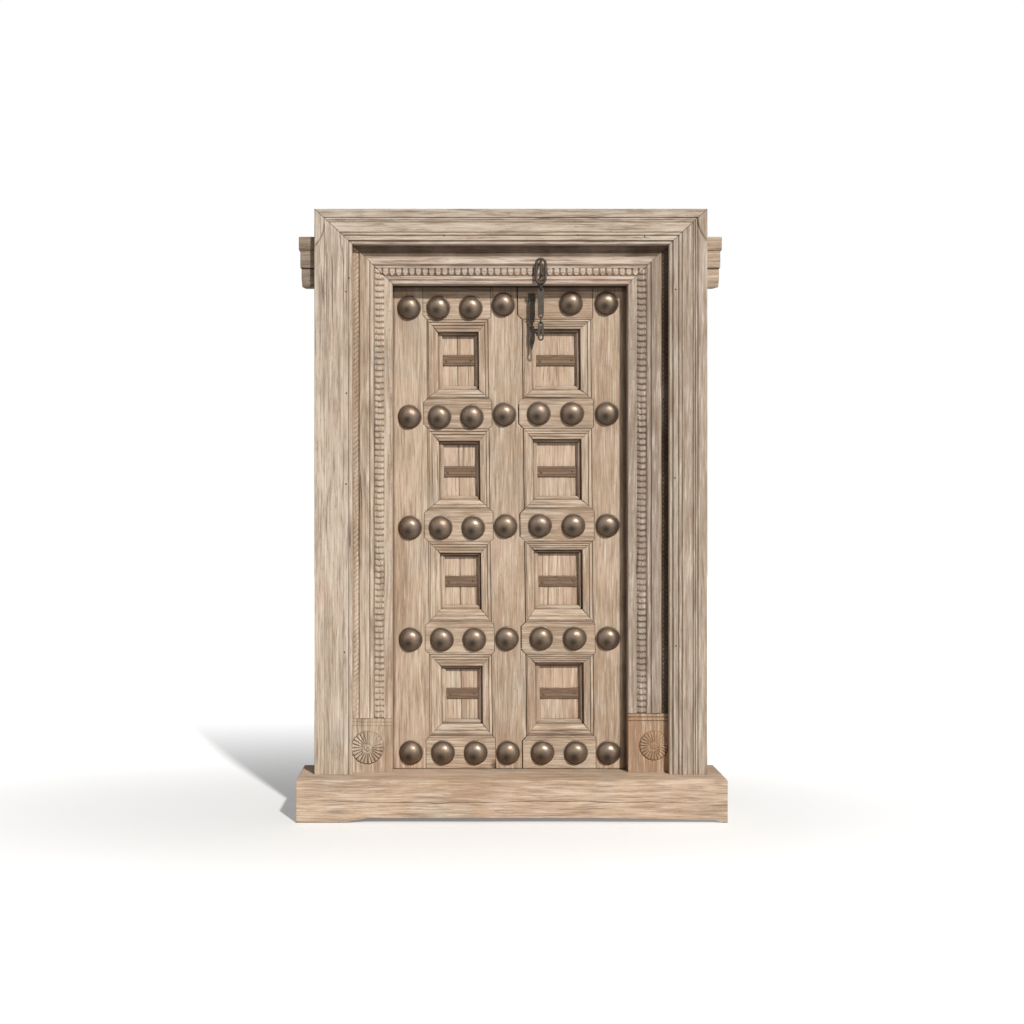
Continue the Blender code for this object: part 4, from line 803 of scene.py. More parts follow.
RAIL_SPANS = ((LEAF_BOTTOM, 0.268), (0.560, 0.675), (0.962, 1.078), (1.366, 1.473), (1.755, LEAF_TOP))
HANGING_EDGE = PIVOT_X - 0.0167
LEFT_STILE_EDGE = -0.2905
RIGHT_STILE_EDGE = 0.2950
POST_EDGE = -0.070
MEETING_LINE = 0.0517
MEETING_GAP = 0.0025
LEFT_SEAM = -0.179
RIGHT_SEAM = 0.262
LETS = LEFT_LET, POST_LET, MEETING_LET, RIGHT_LET = 0.0140, 0.0105, 0.0165, 0.0065
LOWER_MEMBERS = (0.057, 0.059, 0.047, 0.046)
UPPER_MEMBERS = {"left": (0.0557, 0.054, 0.058, 0.057), "right": (0.044, 0.043, 0.051, 0.0464)}
SIDE_MEMBERS = {"left": (0.057, 0.047), "right": (0.048, 0.0515)}
LEDGE = {"left": (0.017, 0.015, 0.0155, 0.0155), "right": (0.017, 0.017, 0.0155, 0.0155)}
LEDGE_FRONT = BOARD_FRONT - 0.010
SCRIBED_HALF_WIDTH = 0.0014
# a moulding's members: the bounds at both of their ends, grain across or up, cut lines and dip
MEMBERS = (("lower", (0, 2), (1, 2), 1.0, ((0.14, 1.0), (0.48, 0.7)), 0.0085),
           ("right", (1, 2), (1, 3), 0.0, ((0.34, 1.0),), 0.0030),
           ("upper", (1, 3), (0, 3), 1.0, ((0.25, 1.0), (0.50, 1.0), (0.79, 0.8)), 0.0030),
           ("left", (0, 3), (0, 2), 0.0, ((0.12, 0.6), (0.62, 0.3)), 0.0095))


def let_share(z, let):
    """How far an upright's edge is let in at a height: 1 beside a rail, 0 beside a panel."""
    share = 0.0
    for low, high in RAIL_SPANS:
        rise = 1.0 if low <= LEAF_BOTTOM + 0.001 else (z - low) / let
        fall = 1.0 if high >= LEAF_TOP - 0.001 else (high - z) / let
        share = max(share, min(rise, fall, 1.0))
    return share


def turns(lets):
    """The heights at which an upright's edge turns, where it is let in round each rail."""
    return [z for low, high in RAIL_SPANS for let in lets for z in (low, low + let, high, high - let)]


def let_in(at, let):
    """An upright's edge that is let in by a depth beside each rail: its place at a height."""
    return lambda z: at + let * let_share(z, abs(let))


def straight(at):
    """A straight edge: its place at any height."""
    return lambda z: at


def heights_of(low, high, step, extra=()):
    """Heights from one end of a plank to the other, close together at its ends and at extra heights."""
    ends = [low, low + 0.0006, low + 0.0016, high - 0.0016, high - 0.0006, high]
    marks = np.unique(np.round([*ends, *extra, *np.arange(low + step, high - 0.4 * step, step)], 6))
    marks = marks[(marks >= low) & (marks <= high)]
    return marks[np.concatenate([[True], np.diff(marks) > 0.0002])]


def plank(work, heights, left, right, front, back, step, across, seed, relief=None, edge=0.0016, dirt=0.5):
    """A plank between two edges that may change with the height; relief adds depth and grime to its face."""
    low, high = heights[0], heights[-1]
    middle = (low + high) / 2
    steps = max(2, int((right(middle) - left(middle)) / step))
    shares = np.linspace(0, 1, steps + 1)
    eased = 0.0015  # of the back edges
    rows, marks = [], []
    for z in heights:
        start, end = left(z), right(z)
        inside = start + edge + (end - start - 2 * edge) * shares
        x = np.concatenate([[start, start + 0.35 * edge], inside, [end - 0.35 * edge, end]])
        from_edge = np.minimum(np.minimum(x - start, end - x), min(z - low, high - z))
        fall = np.clip(edge - from_edge, 0, edge)
        depth = edge - np.sqrt(np.clip(edge ** 2 - fall ** 2, 0, 1))
        grime = dirt * np.clip(fall / edge, 0, 1) ** 2
        if relief:
            more, soil = relief(x, z + 0 * x)
            depth = depth + more
            grime = np.maximum(grime, soil)
        depth = depth + wobble(x * 1.5, z + 0 * x, 0 * x + seed, 5.0, 0.0006)
        x = np.append(x, [end, end - eased, start + eased, start])
        y = np.append(front + depth, [back - eased, back, back, back - eased])
        rows.append(np.stack([x + lean_shift(x, z), y, 0 * x + z], 1))
        marks.append(np.append(grime, [0.45, 0.1, 0.1, 0.45]))
    return work.sheet(rows, across, seed, np.array(marks), wrap=True, cap=True)


def scribed(lines):
    """Fine cuts along a rail at given heights."""
    def relief(x, z):
        """The depth and grime of the cuts."""
        cut = 0 * x
        for at, strength in lines:
            cut = cut + strength * np.clip(1 - np.abs(z - at) / SCRIBED_HALF_WIDTH, 0, 1)
        return 0.0016 * cut, 0.8 * cut
    return relief


def hanging_edge(work, side, seed):
    """The round edge of an outer board and the two wooden pivots, in one piece with it."""
    middle = (LEAF_FRONT + LEAF_BACK) / 2
    radius = (LEAF_BACK - LEAF_FRONT) / 2
    angle = np.radians(np.linspace(-90, 90, 17))
    x = side * np.concatenate([[HANGING_EDGE], PIVOT_X + radius * np.cos(angle), [HANGING_EDGE]])
    y = np.concatenate([[LEAF_FRONT], middle + radius * np.sin(angle), [LEAF_BACK]])
    rows = [np.stack([x, y, z + 0 * x], 1) for z in np.linspace(LEAF_BOTTOM, LEAF_TOP, 24)]
    work.sheet(rows, 0.0, seed, 0.1, wrap=True, cap=True)
    turn = np.linspace(0, 2 * math.pi, 29)[:-1]
    reach, root, eased, thick = 0.040, 0.010, 0.0015, 0.016
    for low, high in ((LEAF_BOTTOM - reach, LEAF_BOTTOM + root), (LEAF_TOP - root, LEAF_TOP + reach)):
        rings = ((low, thick - eased), (low + eased, thick), (high - eased, thick), (high, thick - eased))
        pin = [np.stack([side * PIVOT_X + r * np.cos(turn), middle + r * np.sin(turn), z + 0 * turn], 1)
               for z, r in rings]
        work.sheet(pin, 0.0, seed, 0.3, wrap=True, cap=True)


def boards(finish):
    """Two boards to each leaf; the outer ones carry the round hanging edge and the wooden pivots."""
    heights = heights_of(LEAF_BOTTOM, LEAF_TOP, 0.05, turns((MEETING_LET,)))
    outside = HANGING_EDGE + 0.010
    for name, left, right, seed in (
        ("left_board_inner", straight(LEFT_SEAM), let_in(MEETING_LINE, -MEETING_LET), 20.2),
        ("right_board_inner", let_in(MEETING_LINE + MEETING_GAP, -MEETING_LET), straight(RIGHT_SEAM), 21.7),
        ("left_board_outer", straight(-outside), straight(LEFT_SEAM), 23.1),
        ("right_board_outer", straight(RIGHT_SEAM), straight(outside), 24.9),
    ):
        work = Work()
        plank(work, heights, left, right, BOARD_FRONT, LEAF_BACK, 0.02, 0.0, seed, edge=0.0030, dirt=1.0)
        leaf = name.split("_")[0]
        if "outer" in name:
            hanging_edge(work, -1 if leaf == "left" else 1, seed)
        work.piece(name + "_plank", leaf + "_leaf", name, "sanded_teak", finish)


def uprights(finish):
    """The stiles at the hanging edges and the post at the meeting line, let in round the rails."""
    heights = heights_of(LEAF_BOTTOM, LEAF_TOP, 0.012, turns(LETS))
    hanging = HANGING_EDGE - GAP
    for name, body, left, right, seed in (
        ("left_stile", "left_leaf", straight(-hanging), let_in(LEFT_STILE_EDGE - GAP, -LEFT_LET), 31.0),
        ("meeting_post", "left_leaf", let_in(POST_EDGE + GAP, POST_LET), let_in(MEETING_LINE, -MEETING_LET),
         32.6),
        ("right_stile", "right_leaf", let_in(RIGHT_STILE_EDGE + GAP, RIGHT_LET), straight(hanging), 34.3),
    ):
        work = plank(Work(), heights, left, right, LEAF_FRONT, PLANTED_BACK, 0.010, 0.0, seed,
                     edge=0.0022, dirt=0.75)
        work.piece(name + "_plank", body, name, "sanded_teak", finish)


def rails(finish):
    """Five rails to each leaf, with corners cut where they enter the uprights and fine scribed lines."""
    sides = (("left", let_in(LEFT_STILE_EDGE, -LEFT_LET), let_in(POST_EDGE, POST_LET), 40.5, 1.3),
             ("right", let_in(MEETING_LINE + MEETING_GAP, -MEETING_LET), let_in(RIGHT_STILE_EDGE, RIGHT_LET),
              50.1, 1.7))
    for row, (low, high) in enumerate(RAIL_SPANS):
        lines = ((low + 0.0050, 0.8), (high - 0.0055, 0.6), (high - 0.0210, 0.5))
        if row == 4:
            lines = ((low + 0.0050, 0.8), (low + 0.0150, 0.5))
        if row == 0:
            lines = ((high - 0.0055, 0.9), (high - 0.0150, 0.7))
        marks = [low, high, *[at for let in LETS for at in (low + let, high - let)],
                 *[at + off for at, _ in lines for off in (-SCRIBED_HALF_WIDTH, 0.0, SCRIBED_HALF_WIDTH)]]
        heights = heights_of(low, high, 0.009, marks)
        relief = scribed(lines)

        def broken(x, z):
            """The bottom rail's worn end beside the post."""
            depth, grime = relief(x, z)
            bite = np.clip(1 - np.hypot((x + 0.062) / 0.017, (z - LEAF_BOTTOM - 0.004) / 0.030), 0, 1)
            return depth + 0.010 * bite ** 0.7, np.maximum(grime, 0.9 * bite ** 0.5)

        for leaf, left, right, seed, next_seed in sides:
            face = broken if row == 0 and leaf == "left" else relief
            work = plank(Work(), heights, left, right, LEAF_FRONT, PLANTED_BACK, 0.008, 1.0,
                         seed + row * next_seed, face, 0.0020, 0.75)
            name = leaf + "_rail_" + str(row + 1)
            work.piece(name + "_plank", leaf + "_leaf", name, "sanded_teak", finish)


def panel_bounds(row, leaf):
    """The outside of a panel's moulding and the opening inside it: left, right, low and high."""
    low = RAIL_SPANS[row][1] + GAP
    high = RAIL_SPANS[row + 1][0] - GAP
    start, end = LEFT_STILE_EDGE + GAP, POST_EDGE - GAP
    if leaf == "right":
        start, end = MEETING_LINE + MEETING_GAP, RIGHT_STILE_EDGE - GAP
    sides = SIDE_MEMBERS[leaf]
    opening = (start + sides[0], end - sides[1], low + LOWER_MEMBERS[row],
               high - UPPER_MEMBERS[leaf][row])
    return (start, end, low, high), opening


def member(kind, lines, dip):
    """A moulding member's section: how far across and inward it lies, its depth and its grime, with painted
    shade on the ledges of the upper and right members.
    """
    soft = 0.3 if kind == "left" else 1.0
    front = LEAF_FRONT + 0.001
    shares = np.unique([0.0, 0.015, 0.04, *np.linspace(0.08, 0.97, 14), 1.0,
                        *[at + off for at, _ in lines for off in (-0.055, -0.02, 0.0, 0.02, 0.055)]])
    stations = [(0.0, 0.0, PLANTED_BACK, 0.6 * soft), (0.0, 0.0, front + 0.0028 * soft, soft)]
    for t in shares:
        cut = sum(strength * max(0.0, 1 - abs(t - at) / 0.050) for at, strength in lines)
        edge = soft * max(0.0, 1 - t / 0.06)
        slope = dip * max(0.0, (t - 0.42) / 0.58) ** 1.15 + 0.0020 * edge
        stations.append((max(t, 0.012), 0.0, front + slope + 0.0032 * cut, min(1.0, cut + 0.8 * edge)))
    # painted shade: the ledges of the upper and right members are darkened where the lamp's shadow falls;
    # the lower and left ones, lit, only a little
    shade = 1.0 if kind in ("right", "upper") else 0.15
    return stations + [
        (1.0, 0.04, front + dip + 0.0015, 0.2), (1.0, 0.05, LEDGE_FRONT - 0.001, 0.9),
        (1.0, 0.30, LEDGE_FRONT, 0.95 * shade), (1.0, 0.38, LEDGE_FRONT - 0.001, 0.05),
        (1.0, 0.56, LEDGE_FRONT - 0.001, 0.05), (1.0, 0.64, LEDGE_FRONT, 0.9 * shade),
        (1.0, 1.0, LEDGE_FRONT + 0.001, 0.95 * shade), (1.0, 1.0, PLANTED_BACK, 0.9)]


def panel_moulding(finish, leaf, row):
    """Four mitred members about a panel, all with cut lines: the upper and right ones have painted shade on
    their ledges, the others slope more.
    """
    outside, opening = (np.array(bounds) for bounds in panel_bounds(row, leaf))
    inner = opening + np.array([-1, 1, -1, 1]) * LEDGE[leaf]
    ends = np.concatenate([[0, 0.006, 0.02], np.linspace(0.06, 0.94, 20), [0.98, 0.994, 1.0]])
    seam = np.clip(1 - np.minimum(ends, 1 - ends) / 0.007, 0, 1)
    first_seed = 60 + row * 5 + (2.5 if leaf == "left" else 0)
    work = Work()
    for number, (kind, first, last, across, lines, dip) in enumerate(MEMBERS):
        rows, marks = [], []
        for t, inward, y, soil in member(kind, lines, dip):
            bounds = outside + t * (inner - outside) + inward * (opening - inner)
            a, b = bounds[list(first)], bounds[list(last)]
            line = a + ends[:, None] * (b - a)
            x, z = line[:, 0], line[:, 1]
            uneven = wobble(x * 3, z * 3, 0 * x + number + row * 3, 6.0, 0.0005) * (y < PLANTED_BACK - 0.004)
            y = y + uneven + 0.0010 * seam * (y < LEDGE_FRONT)
            rows.append(np.stack([x + lean_shift(x, z), y, z], 1))
            marks.append(np.maximum(soil, 0.75 * seam))
        work.sheet(rows, across, first_seed + number * 1.9, np.array(marks))
    name = leaf + "_moulding_" + str(row + 1)
    work.piece(name + "_members", leaf + "_leaf", name, "sanded_teak", finish, smooth=30)


def strap(finish, leaf, row):
    """An iron strap across a panel's boards, drawn with fine lines and nailed at its ends."""
    _, opening = panel_bounds(row, leaf)
    low, high = (corner.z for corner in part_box(leaf + "_strap_" + str(row + 1)))
    x = np.linspace(opening[0] + GAP, opening[1] - GAP, 40)
    lines = (0.17, 0.20, 0.23, 0.47, 0.50, 0.53, 0.77, 0.80, 0.83)
    share = np.array([0.0, 0.02, 0.05, *lines, 0.95, 0.98, 1.0])
    cut = np.interp(share, [0, 0.05, *lines, 0.95, 1.0],
                    [0.0012, 0, 0, 0.0009, 0, 0, 0.0005, 0, 0, 0.0009, 0, 0, 0.0012])
    front = PLANTED_BACK - 0.0050
    rows, marks = [], []
    for s, depth in zip(share, cut):
        z = low + s * (high - low) + wobble(x * 4, 0 * x + s, 0 * x + row, 6.0, 0.0012)
        y = front + depth + wobble(x * 3, z, 0 * x + 9 + row, 6.0, 0.0007)
        rows.append(np.stack([x + lean_shift(x, z), y, z], 1))
        marks.append(np.clip(depth / 0.0009, 0, 1) * 0.8 + 0 * x)
    behind = [edge * [1, 0, 1] + [0, PLANTED_BACK - 0.0002, 0] for edge in (rows[0], rows[-1])]
    grid = np.array([behind[0], *rows, behind[1]]).transpose(1, 0, 2)
    soil = np.array([0.8 + 0 * x, *marks, 0.8 + 0 * x]).T
    work = Work().sheet(grid, 1.0, 3.0, soil, wrap=True, cap=True)
    profile = ((1, -0.002), (1, 0.0006), (0.8, 0.0022), (0.4, 0.0030), (0.05, 0.0032))
    for at in (opening[0] + 0.014, opening[1] - 0.014):
        z = (low + high) / 2 + 0.003 * math.sin(at * 90)
        dome(work, at + lean_shift(at, z), front, z, 0.0052, profile, 12, at)
    name = leaf + "_strap_" + str(row + 1)
    work.piece(name + "_iron", leaf + "_leaf", name, "dark_iron", finish)


def dome(work, x, y, z, radius, profile, sides, turn, soil=None):
    """A hammered round head that stands on a face towards the front."""
    angle = np.linspace(0, 2 * math.pi, sides + 1)[:-1]
    uneven = 1 + 0.010 * np.sin(2 * angle + turn * 37) + 0.008 * np.sin(3 * angle + turn * 61)
    rows = []
    for share, rise in profile:
        wide = radius * share * uneven
        rows.append(np.stack([x + wide * np.cos(angle), y - rise + 0 * angle, z + wide * np.sin(angle)], 1))
    marks = 0.2
    if soil:  # and one dark patch, low on the left: a painted dark reflection, laid on as darker patina
        share = np.array([wide for wide, _ in profile])[:, None]
        away = (share * np.cos(angle) + 0.17) ** 2 + (share * np.sin(angle) + 0.26) ** 2
        marks = np.maximum(np.array(soil)[:, None], np.exp(-away / 0.15))
    work.sheet(rows, 0.0, turn, marks, wrap=True, cap=True)


def studs(finish, iron_look):
    """The domed iron studs: each a thin flange with a beaten dome, on its upright or rail."""
    rise = iron_look.stud_rise
    flange = ((1.0, -0.002), (1.0, 0.0010), (0.985, 0.0024), (0.94, 0.0032), (0.905, 0.0034),
              (0.893, 0.0050))
    beaten = ((0.88, 0.30), (0.83, 0.47), (0.75, 0.62), (0.65, 0.75), (0.53, 0.86), (0.40, 0.935),
              (0.26, 0.98), (0.12, 0.998), (0.02, 1.0))
    profile = (*flange, *[(share, height * rise) for share, height in beaten])
    soil = (0.8, 0.6, 0.2, 0.3, 1.0, 0.9, 0.5, 0.15, 0, 0, 0, 0, 0, 0, 0)
    columns = {
        "left_stile": ("left_leaf", (0.0813 - PIVOT_X,), 0.0095),
        "left_rail_": ("left_leaf", (-0.2467, -0.1307), 0.0095),
        "meeting_post": ("left_leaf", (-0.0147,), 0.0025),
        "right_rail_": ("right_leaf", (0.1078, 0.2271), 0.0),
        "right_stile": ("right_leaf", (PIVOT_X - 0.0885,), 0.0),
    }
    first = sum(RAIL_SPANS[0]) / 2
    for label, (body, spots, sag) in columns.items():
        works = {}
        for row, (low, high) in enumerate(RAIL_SPANS):
            level = low + 0.057 if row == 4 else (low + high) / 2
            z = level - sag * (level - first)
            name = label + str(row + 1) if label.endswith("_") else label
            work = works.setdefault(name, Work())
            for x in spots[1:] if name == "right_rail_5" else spots:
                dome(work, x + lean_shift(x, z), LEAF_FRONT, z, iron_look.stud_radius, profile, 40,
                     x * 3 + row * 1.7, soil)
        for name, work in works.items():
            work.piece(name + "_studs", body, name, "dark_iron", finish, smooth=50)


# ---- door chain

CHAIN_X = 0.1060
CHAIN_Y = -0.026
LEAF_CHAIN_X = 0.0780
LEAF_CHAIN_Y = 0.030
LINK_GAP = 0.0008
PLATE_THICKNESS = 0.0045
STAPLE_RADIUS, LEAF_STAPLE_RADIUS = 0.0045, 0.0035
RING_HALF, RING_LENGTH = 0.0165, 0.086
TWIST_HALF, TWIST_LENGTH, TWIST_RADIUS = 0.0085, 0.031, 0.0032
CONNECTOR_HALF, CONNECTOR_LENGTH, CONNECTOR_RADIUS = 0.008, 0.0258, 0.0025
BAR_HALF = 0.0110
UPPER_EYE, LOWER_EYE, ROUND_EYE = 0.0055, 0.0050, 0.0095  # holes of the flat irons, and the iron round one
HOLE_ROOM = 0.0001
WIRE_ROOM = 0.0001


def rod(work, path, radius, flat, closed=False):
    """Round iron along a path of points; flat gives the direction square to its bends at each point."""
    path = np.asarray(path, float)
    if closed:
        along = np.roll(path, -1, 0) - np.roll(path, 1, 0)
    else:
        along = np.gradient(path, axis=0)
    along /= np.linalg.norm(along, axis=1)[:, None]
    out = np.cross(flat, along)
    out /= np.linalg.norm(out, axis=1)[:, None]
    side = np.cross(along, out)
    angle = np.linspace(0, 2 * math.pi, 15)[:-1, None]
    rows = path[:, None] + radius * (np.cos(angle) * out[:, None] + np.sin(angle) * side[:, None])
    if closed:
        rows = np.concatenate([rows, rows[:1]])
    return work.sheet(rows, 0.0, 0.0, 0.1, wrap=True, cap=not closed)


def arc_points(u, v, radius, start, end, steps):
    """Points of an arc, with its angles in degrees."""
    angle = np.radians(np.linspace(start, end, steps + 1))
    return np.stack([u + radius * np.cos(angle), v + radius * np.sin(angle)], 1)


def staple(work, x, lower, upper, face, reach, driven, radius):
    """A bow of round iron, both legs driven in behind a face."""
    bend = 2 * radius
    front = face - reach
    middle = front + bend
    outline = np.concatenate([[[face + driven, lower]], arc_points(middle, lower + bend, bend, 270, 180, 8),
                              arc_points(middle, upper - bend, bend, 180, 90, 8), [[face + driven, upper]]])
    return rod(work, np.insert(outline, 0, x, axis=1), radius * 0.97, (1, 0, 0))


def wire_link(x, y, top, half, length, radius, turn):
    """A closed link of round iron that hangs from its top; turn gives its angle at each depth."""
    upper = arc_points(0, -half, half, 0, 180, 12)
    lower = arc_points(0, half - length, half, 180, 360, 12)
    leg = np.linspace(-half, half - length, 18)[1:-1]
    left = np.stack([0 * leg - half, leg], 1)
    right = np.stack([0 * leg + half, leg[::-1]], 1)
    across, down = np.concatenate([upper, left, lower, right]).T
    angle = turn(down)
    points = np.stack([x + across * np.cos(angle), y + across * np.sin(angle), top + down], 1)
    flat = np.stack([-np.sin(angle), np.cos(angle), 0 * angle], 1)
    return rod(Work(), points, radius, flat, closed=True)


def flat_iron(y, outline, holes):
    """A forged plate square to Y, its edges rounded round the outline and in each hole."""
    work = Work()
    rings = [outline, *holes]
    shape = bmesh.new()
    loops = []
    for points in rings:
        ring = [shape.verts.new((u, 0, v)) for u, v in points]
        loops += [shape.edges.new((ring[k], ring[(k + 1) % len(ring)])) for k in range(len(ring))]
    filled = bmesh.ops.triangle_fill(shape, use_beauty=True, use_dissolve=False, edges=loops)
    faces = [item for item in filled["geom"] if isinstance(item, bmesh.types.BMFace)]
    shape.verts.index_update()
    flat = [(v.co.x, v.co.z) for v in shape.verts]
    spans = [[v.index for v in edge.verts] for edge in loops]
    lists = [[v.index for v in face.verts] for face in faces]
    shape.free()
    inset = []
    for n, ring in enumerate(rings):
        to_middle = np.mean(ring, axis=0) - ring
        to_middle /= np.linalg.norm(to_middle, axis=1)[:, None]
        inset += list(to_middle * (0.0008 if n == 0 else -0.0006))
    half = PLATE_THICKNESS / 2 - 0.0001
    for depth, share in ((-half, 1.0), (-half + 0.0008, 0.0), (half - 0.0008, 0.0), (half, 1.0)):
        for (u, v), (a, b) in zip(flat, inset):
            work.points.append([u + share * a, y + depth, v + share * b])
            work.marks.append([0.0, 0.0, 0.1])
    count = len(flat)
    for layer in (0, 3):
        for face in lists:
            work.faces.append(tuple(layer * count + k for k in face))
    for low in (0, count, 2 * count):
        high = low + count
        for a, b in spans:
            work.faces.append((low + a, low + b, high + b, high + a))
    return work


def eyed_bar(x, upper, lower):
    """The outline of a flat bar with an eye at each end."""
    eye, foot = 0.0105, ROUND_EYE
    waist = eye + 0.003
    return np.concatenate([arc_points(x, upper, eye, 0, 180, 18),
                           [[x - BAR_HALF, upper - waist], [x - BAR_HALF, lower + waist]],
                           arc_points(x, lower, foot, 180, 360, 18),
                           [[x + BAR_HALF, lower + waist], [x + BAR_HALF, upper - waist]]])


def hole(x, z, radius):
    """The outline of a round hole."""
    return arc_points(x, z, radius, 0, 345, 23)


def across_the_door(down):
    """A link's angle where it stands square to the door."""
    return 0 * down + math.pi / 2


def half_turn(down):
    """The twisted link's angle, which goes round by half a turn between its two ends."""
    share = np.clip((-down - TWIST_HALF) / (TWIST_LENGTH - 2 * TWIST_HALF), 0, 1)
    return math.pi / 2 - math.pi * share ** 3 * (share * (6 * share - 15) + 10)


def bar_and_connector(x, y, eye, length, names, finish):
    """A flat bar with an eye at each end and the wire link below it; gives the height of the next eye."""
    lower_eye = eye - length
    holes = [hole(x, eye, UPPER_EYE + HOLE_ROOM), hole(x, lower_eye, LOWER_EYE + HOLE_ROOM)]
    bar = flat_iron(y, eyed_bar(x, eye, lower_eye), holes)
    top = lower_eye - LOWER_EYE + LINK_GAP + CONNECTOR_RADIUS
    link = wire_link(x, y, top, CONNECTOR_HALF, CONNECTOR_LENGTH, CONNECTOR_RADIUS - WIRE_ROOM,
                     across_the_door)
    for work, (name, body, node) in zip((bar, link), names):
        work.piece(name, body, node, "dark_iron", finish)
    return top - CONNECTOR_LENGTH + CONNECTOR_RADIUS + LINK_GAP - LOWER_EYE


def lintel_strand(finish):
    """The staple in the lintel, the long ring over it, and the irons that hang from the ring."""
    x, y = CHAIN_X, CHAIN_Y
    lower, upper = 1.899, 1.949
    bow = staple(Work(), x, lower, upper, FRAME_FRONT, 0.0335, 0.016, STAPLE_RADIUS)
    bow.piece("lintel_staple_iron", "frame", "lintel_staple", "dark_iron", finish)
    top = upper + 2 * STAPLE_RADIUS + LINK_GAP
    ring = wire_link(x, y, top, RING_HALF, RING_LENGTH, STAPLE_RADIUS - WIRE_ROOM, lambda down: 0 * down)
    ring.piece("ring_iron", "ring", "chain_ring", "dark_iron", finish)
    twist_top = top - RING_LENGTH + STAPLE_RADIUS + LINK_GAP + TWIST_RADIUS
    link = wire_link(x, y, twist_top, TWIST_HALF, TWIST_LENGTH, TWIST_RADIUS - WIRE_ROOM, half_turn)
    link.piece("twisted_link_iron", "twisted_link", "chain_twisted_link", "dark_iron", finish)
    eye = twist_top - TWIST_LENGTH + TWIST_RADIUS + LINK_GAP - UPPER_EYE
    eye = bar_and_connector(x, y, eye, 0.0905, (("bar_iron", "bar", "chain_bar"),
                                                ("connector_iron", "connector", "chain_connector")), finish)
    half, end, slot_half = 0.0105, eye - 0.048, 0.0046
    shoulder = eye - 0.0125
    outline = np.concatenate([arc_points(x, eye, ROUND_EYE, 0, 180, 18), [[x - half, shoulder]],
                              arc_points(x, end, half, 180, 360, 18), [[x + half, shoulder]]])
    slot = np.concatenate([arc_points(x, end + 0.0235, slot_half, 0, 180, 10),
                           arc_points(x, end, slot_half, 180, 360, 10)])
    link = flat_iron(y, outline, [hole(x, eye, LOWER_EYE + HOLE_ROOM), slot])
    link.piece("lower_link_iron", "lower_link", "chain_lower_link", "dark_iron", finish)


def leaf_strand(finish):
    """The staple on the right leaf through its square plate, and the irons that hang from it."""
    x, y = LEAF_CHAIN_X, LEAF_CHAIN_Y
    lower = LEAF_TOP - 0.0717
    upper = lower + 0.0155
    work = staple(Work(), x, lower, upper, LEAF_FRONT, 0.0245, 0.011, LEAF_STAPLE_RADIUS)
    back = LEAF_FRONT - GAP
    rows = []
    for inset, face in ((0.0, back), (0.0, back - 0.0022), (0.0009, back - 0.003)):
        left, right = x - 0.013 + inset, x + 0.013 - inset
        low, high = lower - 0.009 + inset, upper + 0.009 - inset
        rows.append([(left, face, low), (x, face, low - 0.0003), (right, face, low), (right, face, high),
                     (x, face, high + 0.0003), (left, face, high)])
    work.sheet(rows, 0.0, 0.0, 0.0, wrap=True, cap=True)
    work.piece("leaf_staple_iron", "right_leaf", "leaf_staple", "dark_iron", finish)
    eye = lower + LEAF_STAPLE_RADIUS + LINK_GAP - UPPER_EYE
    eye = bar_and_connector(x, y, eye, 0.0723, (
        ("leaf_link_iron", "leaf_chain_link", "leaf_link"),
        ("leaf_connector_iron", "leaf_chain_connector", "leaf_connector")), finish)
    half, tip_half = 0.0112, 0.0015
    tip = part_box("leaf_tip_link")[0].z + 0.0006
    left = [(x - half, eye - 0.0125), (x - half, eye - 0.040), (x - tip_half, tip)]
    right = [(2 * x - across, up) for across, up in reversed(left)]
    outline = np.concatenate([arc_points(x, eye, ROUND_EYE, 0, 180, 18), left, right])
    link = flat_iron(y, outline, [hole(x, eye, LOWER_EYE + HOLE_ROOM)])
    link.piece("leaf_tip_iron", "leaf_chain_tip", "leaf_tip_link", "dark_iron", finish)


# ---- stage


def floor_finish():
    """A plain pale floor: white to the eye, with the door's shadow left on it, faded out further away by
    painted light.
    """
    material = bpy.data.materials.new("Pale floor")
    t = Tree(material)
    place = t.node("ShaderNodeTexCoord", {}, output="Object")
    speck = t.noise(place, 3.0).ramp(0.3, 0.7) * 0.15
    shade = t.blend(speck, rgb((0.80, 0.80, 0.80)), rgb((0.76, 0.76, 0.76)))
    t.finish(Base_Color=shade, Roughness=0.95, Specular_IOR_Level=0.1)
    plain = Socket(t, t.shader.outputs[0])
    x, y, _ = t.parts(place)
    # painted light: to the eye the floor glows more the further it lies from the door, so that the door's
    # cast shadow fades out
    away = ((x + 0.4) * (x + 0.4) * 0.22 + (y - 0.1) * (y - 0.1)).maths("SQRT")
    glow = t.node("ShaderNodeEmission", {}, away.ramp(0.1, 2.5) * 0.80 + 0.20, 1.0)
    lit = t.node("ShaderNodeAddShader", {}, plain, glow)
    seen = t.node("ShaderNodeLightPath", {}, output="Is Camera Ray")
    surface = t.node("ShaderNodeMixShader", {}, seen, plain, lit)
    t.feed(t.nodes["Material Output"].inputs["Surface"], surface)
    return material


def stage_floor():
    """A wide floor under the door."""
    shape = bmesh.new()
    bmesh.ops.create_grid(shape, x_segments=24, y_segments=24, size=14.0)
    mesh = bpy.data.meshes.new("floor")
    shape.to_mesh(mesh)
    shape.free()
    mesh.materials.append(floor_finish())
    floor = bpy.data.objects.new("floor", mesh)
    floor.location = (0, 0, -0.0005)
    bpy.context.scene.collection.objects.link(floor)


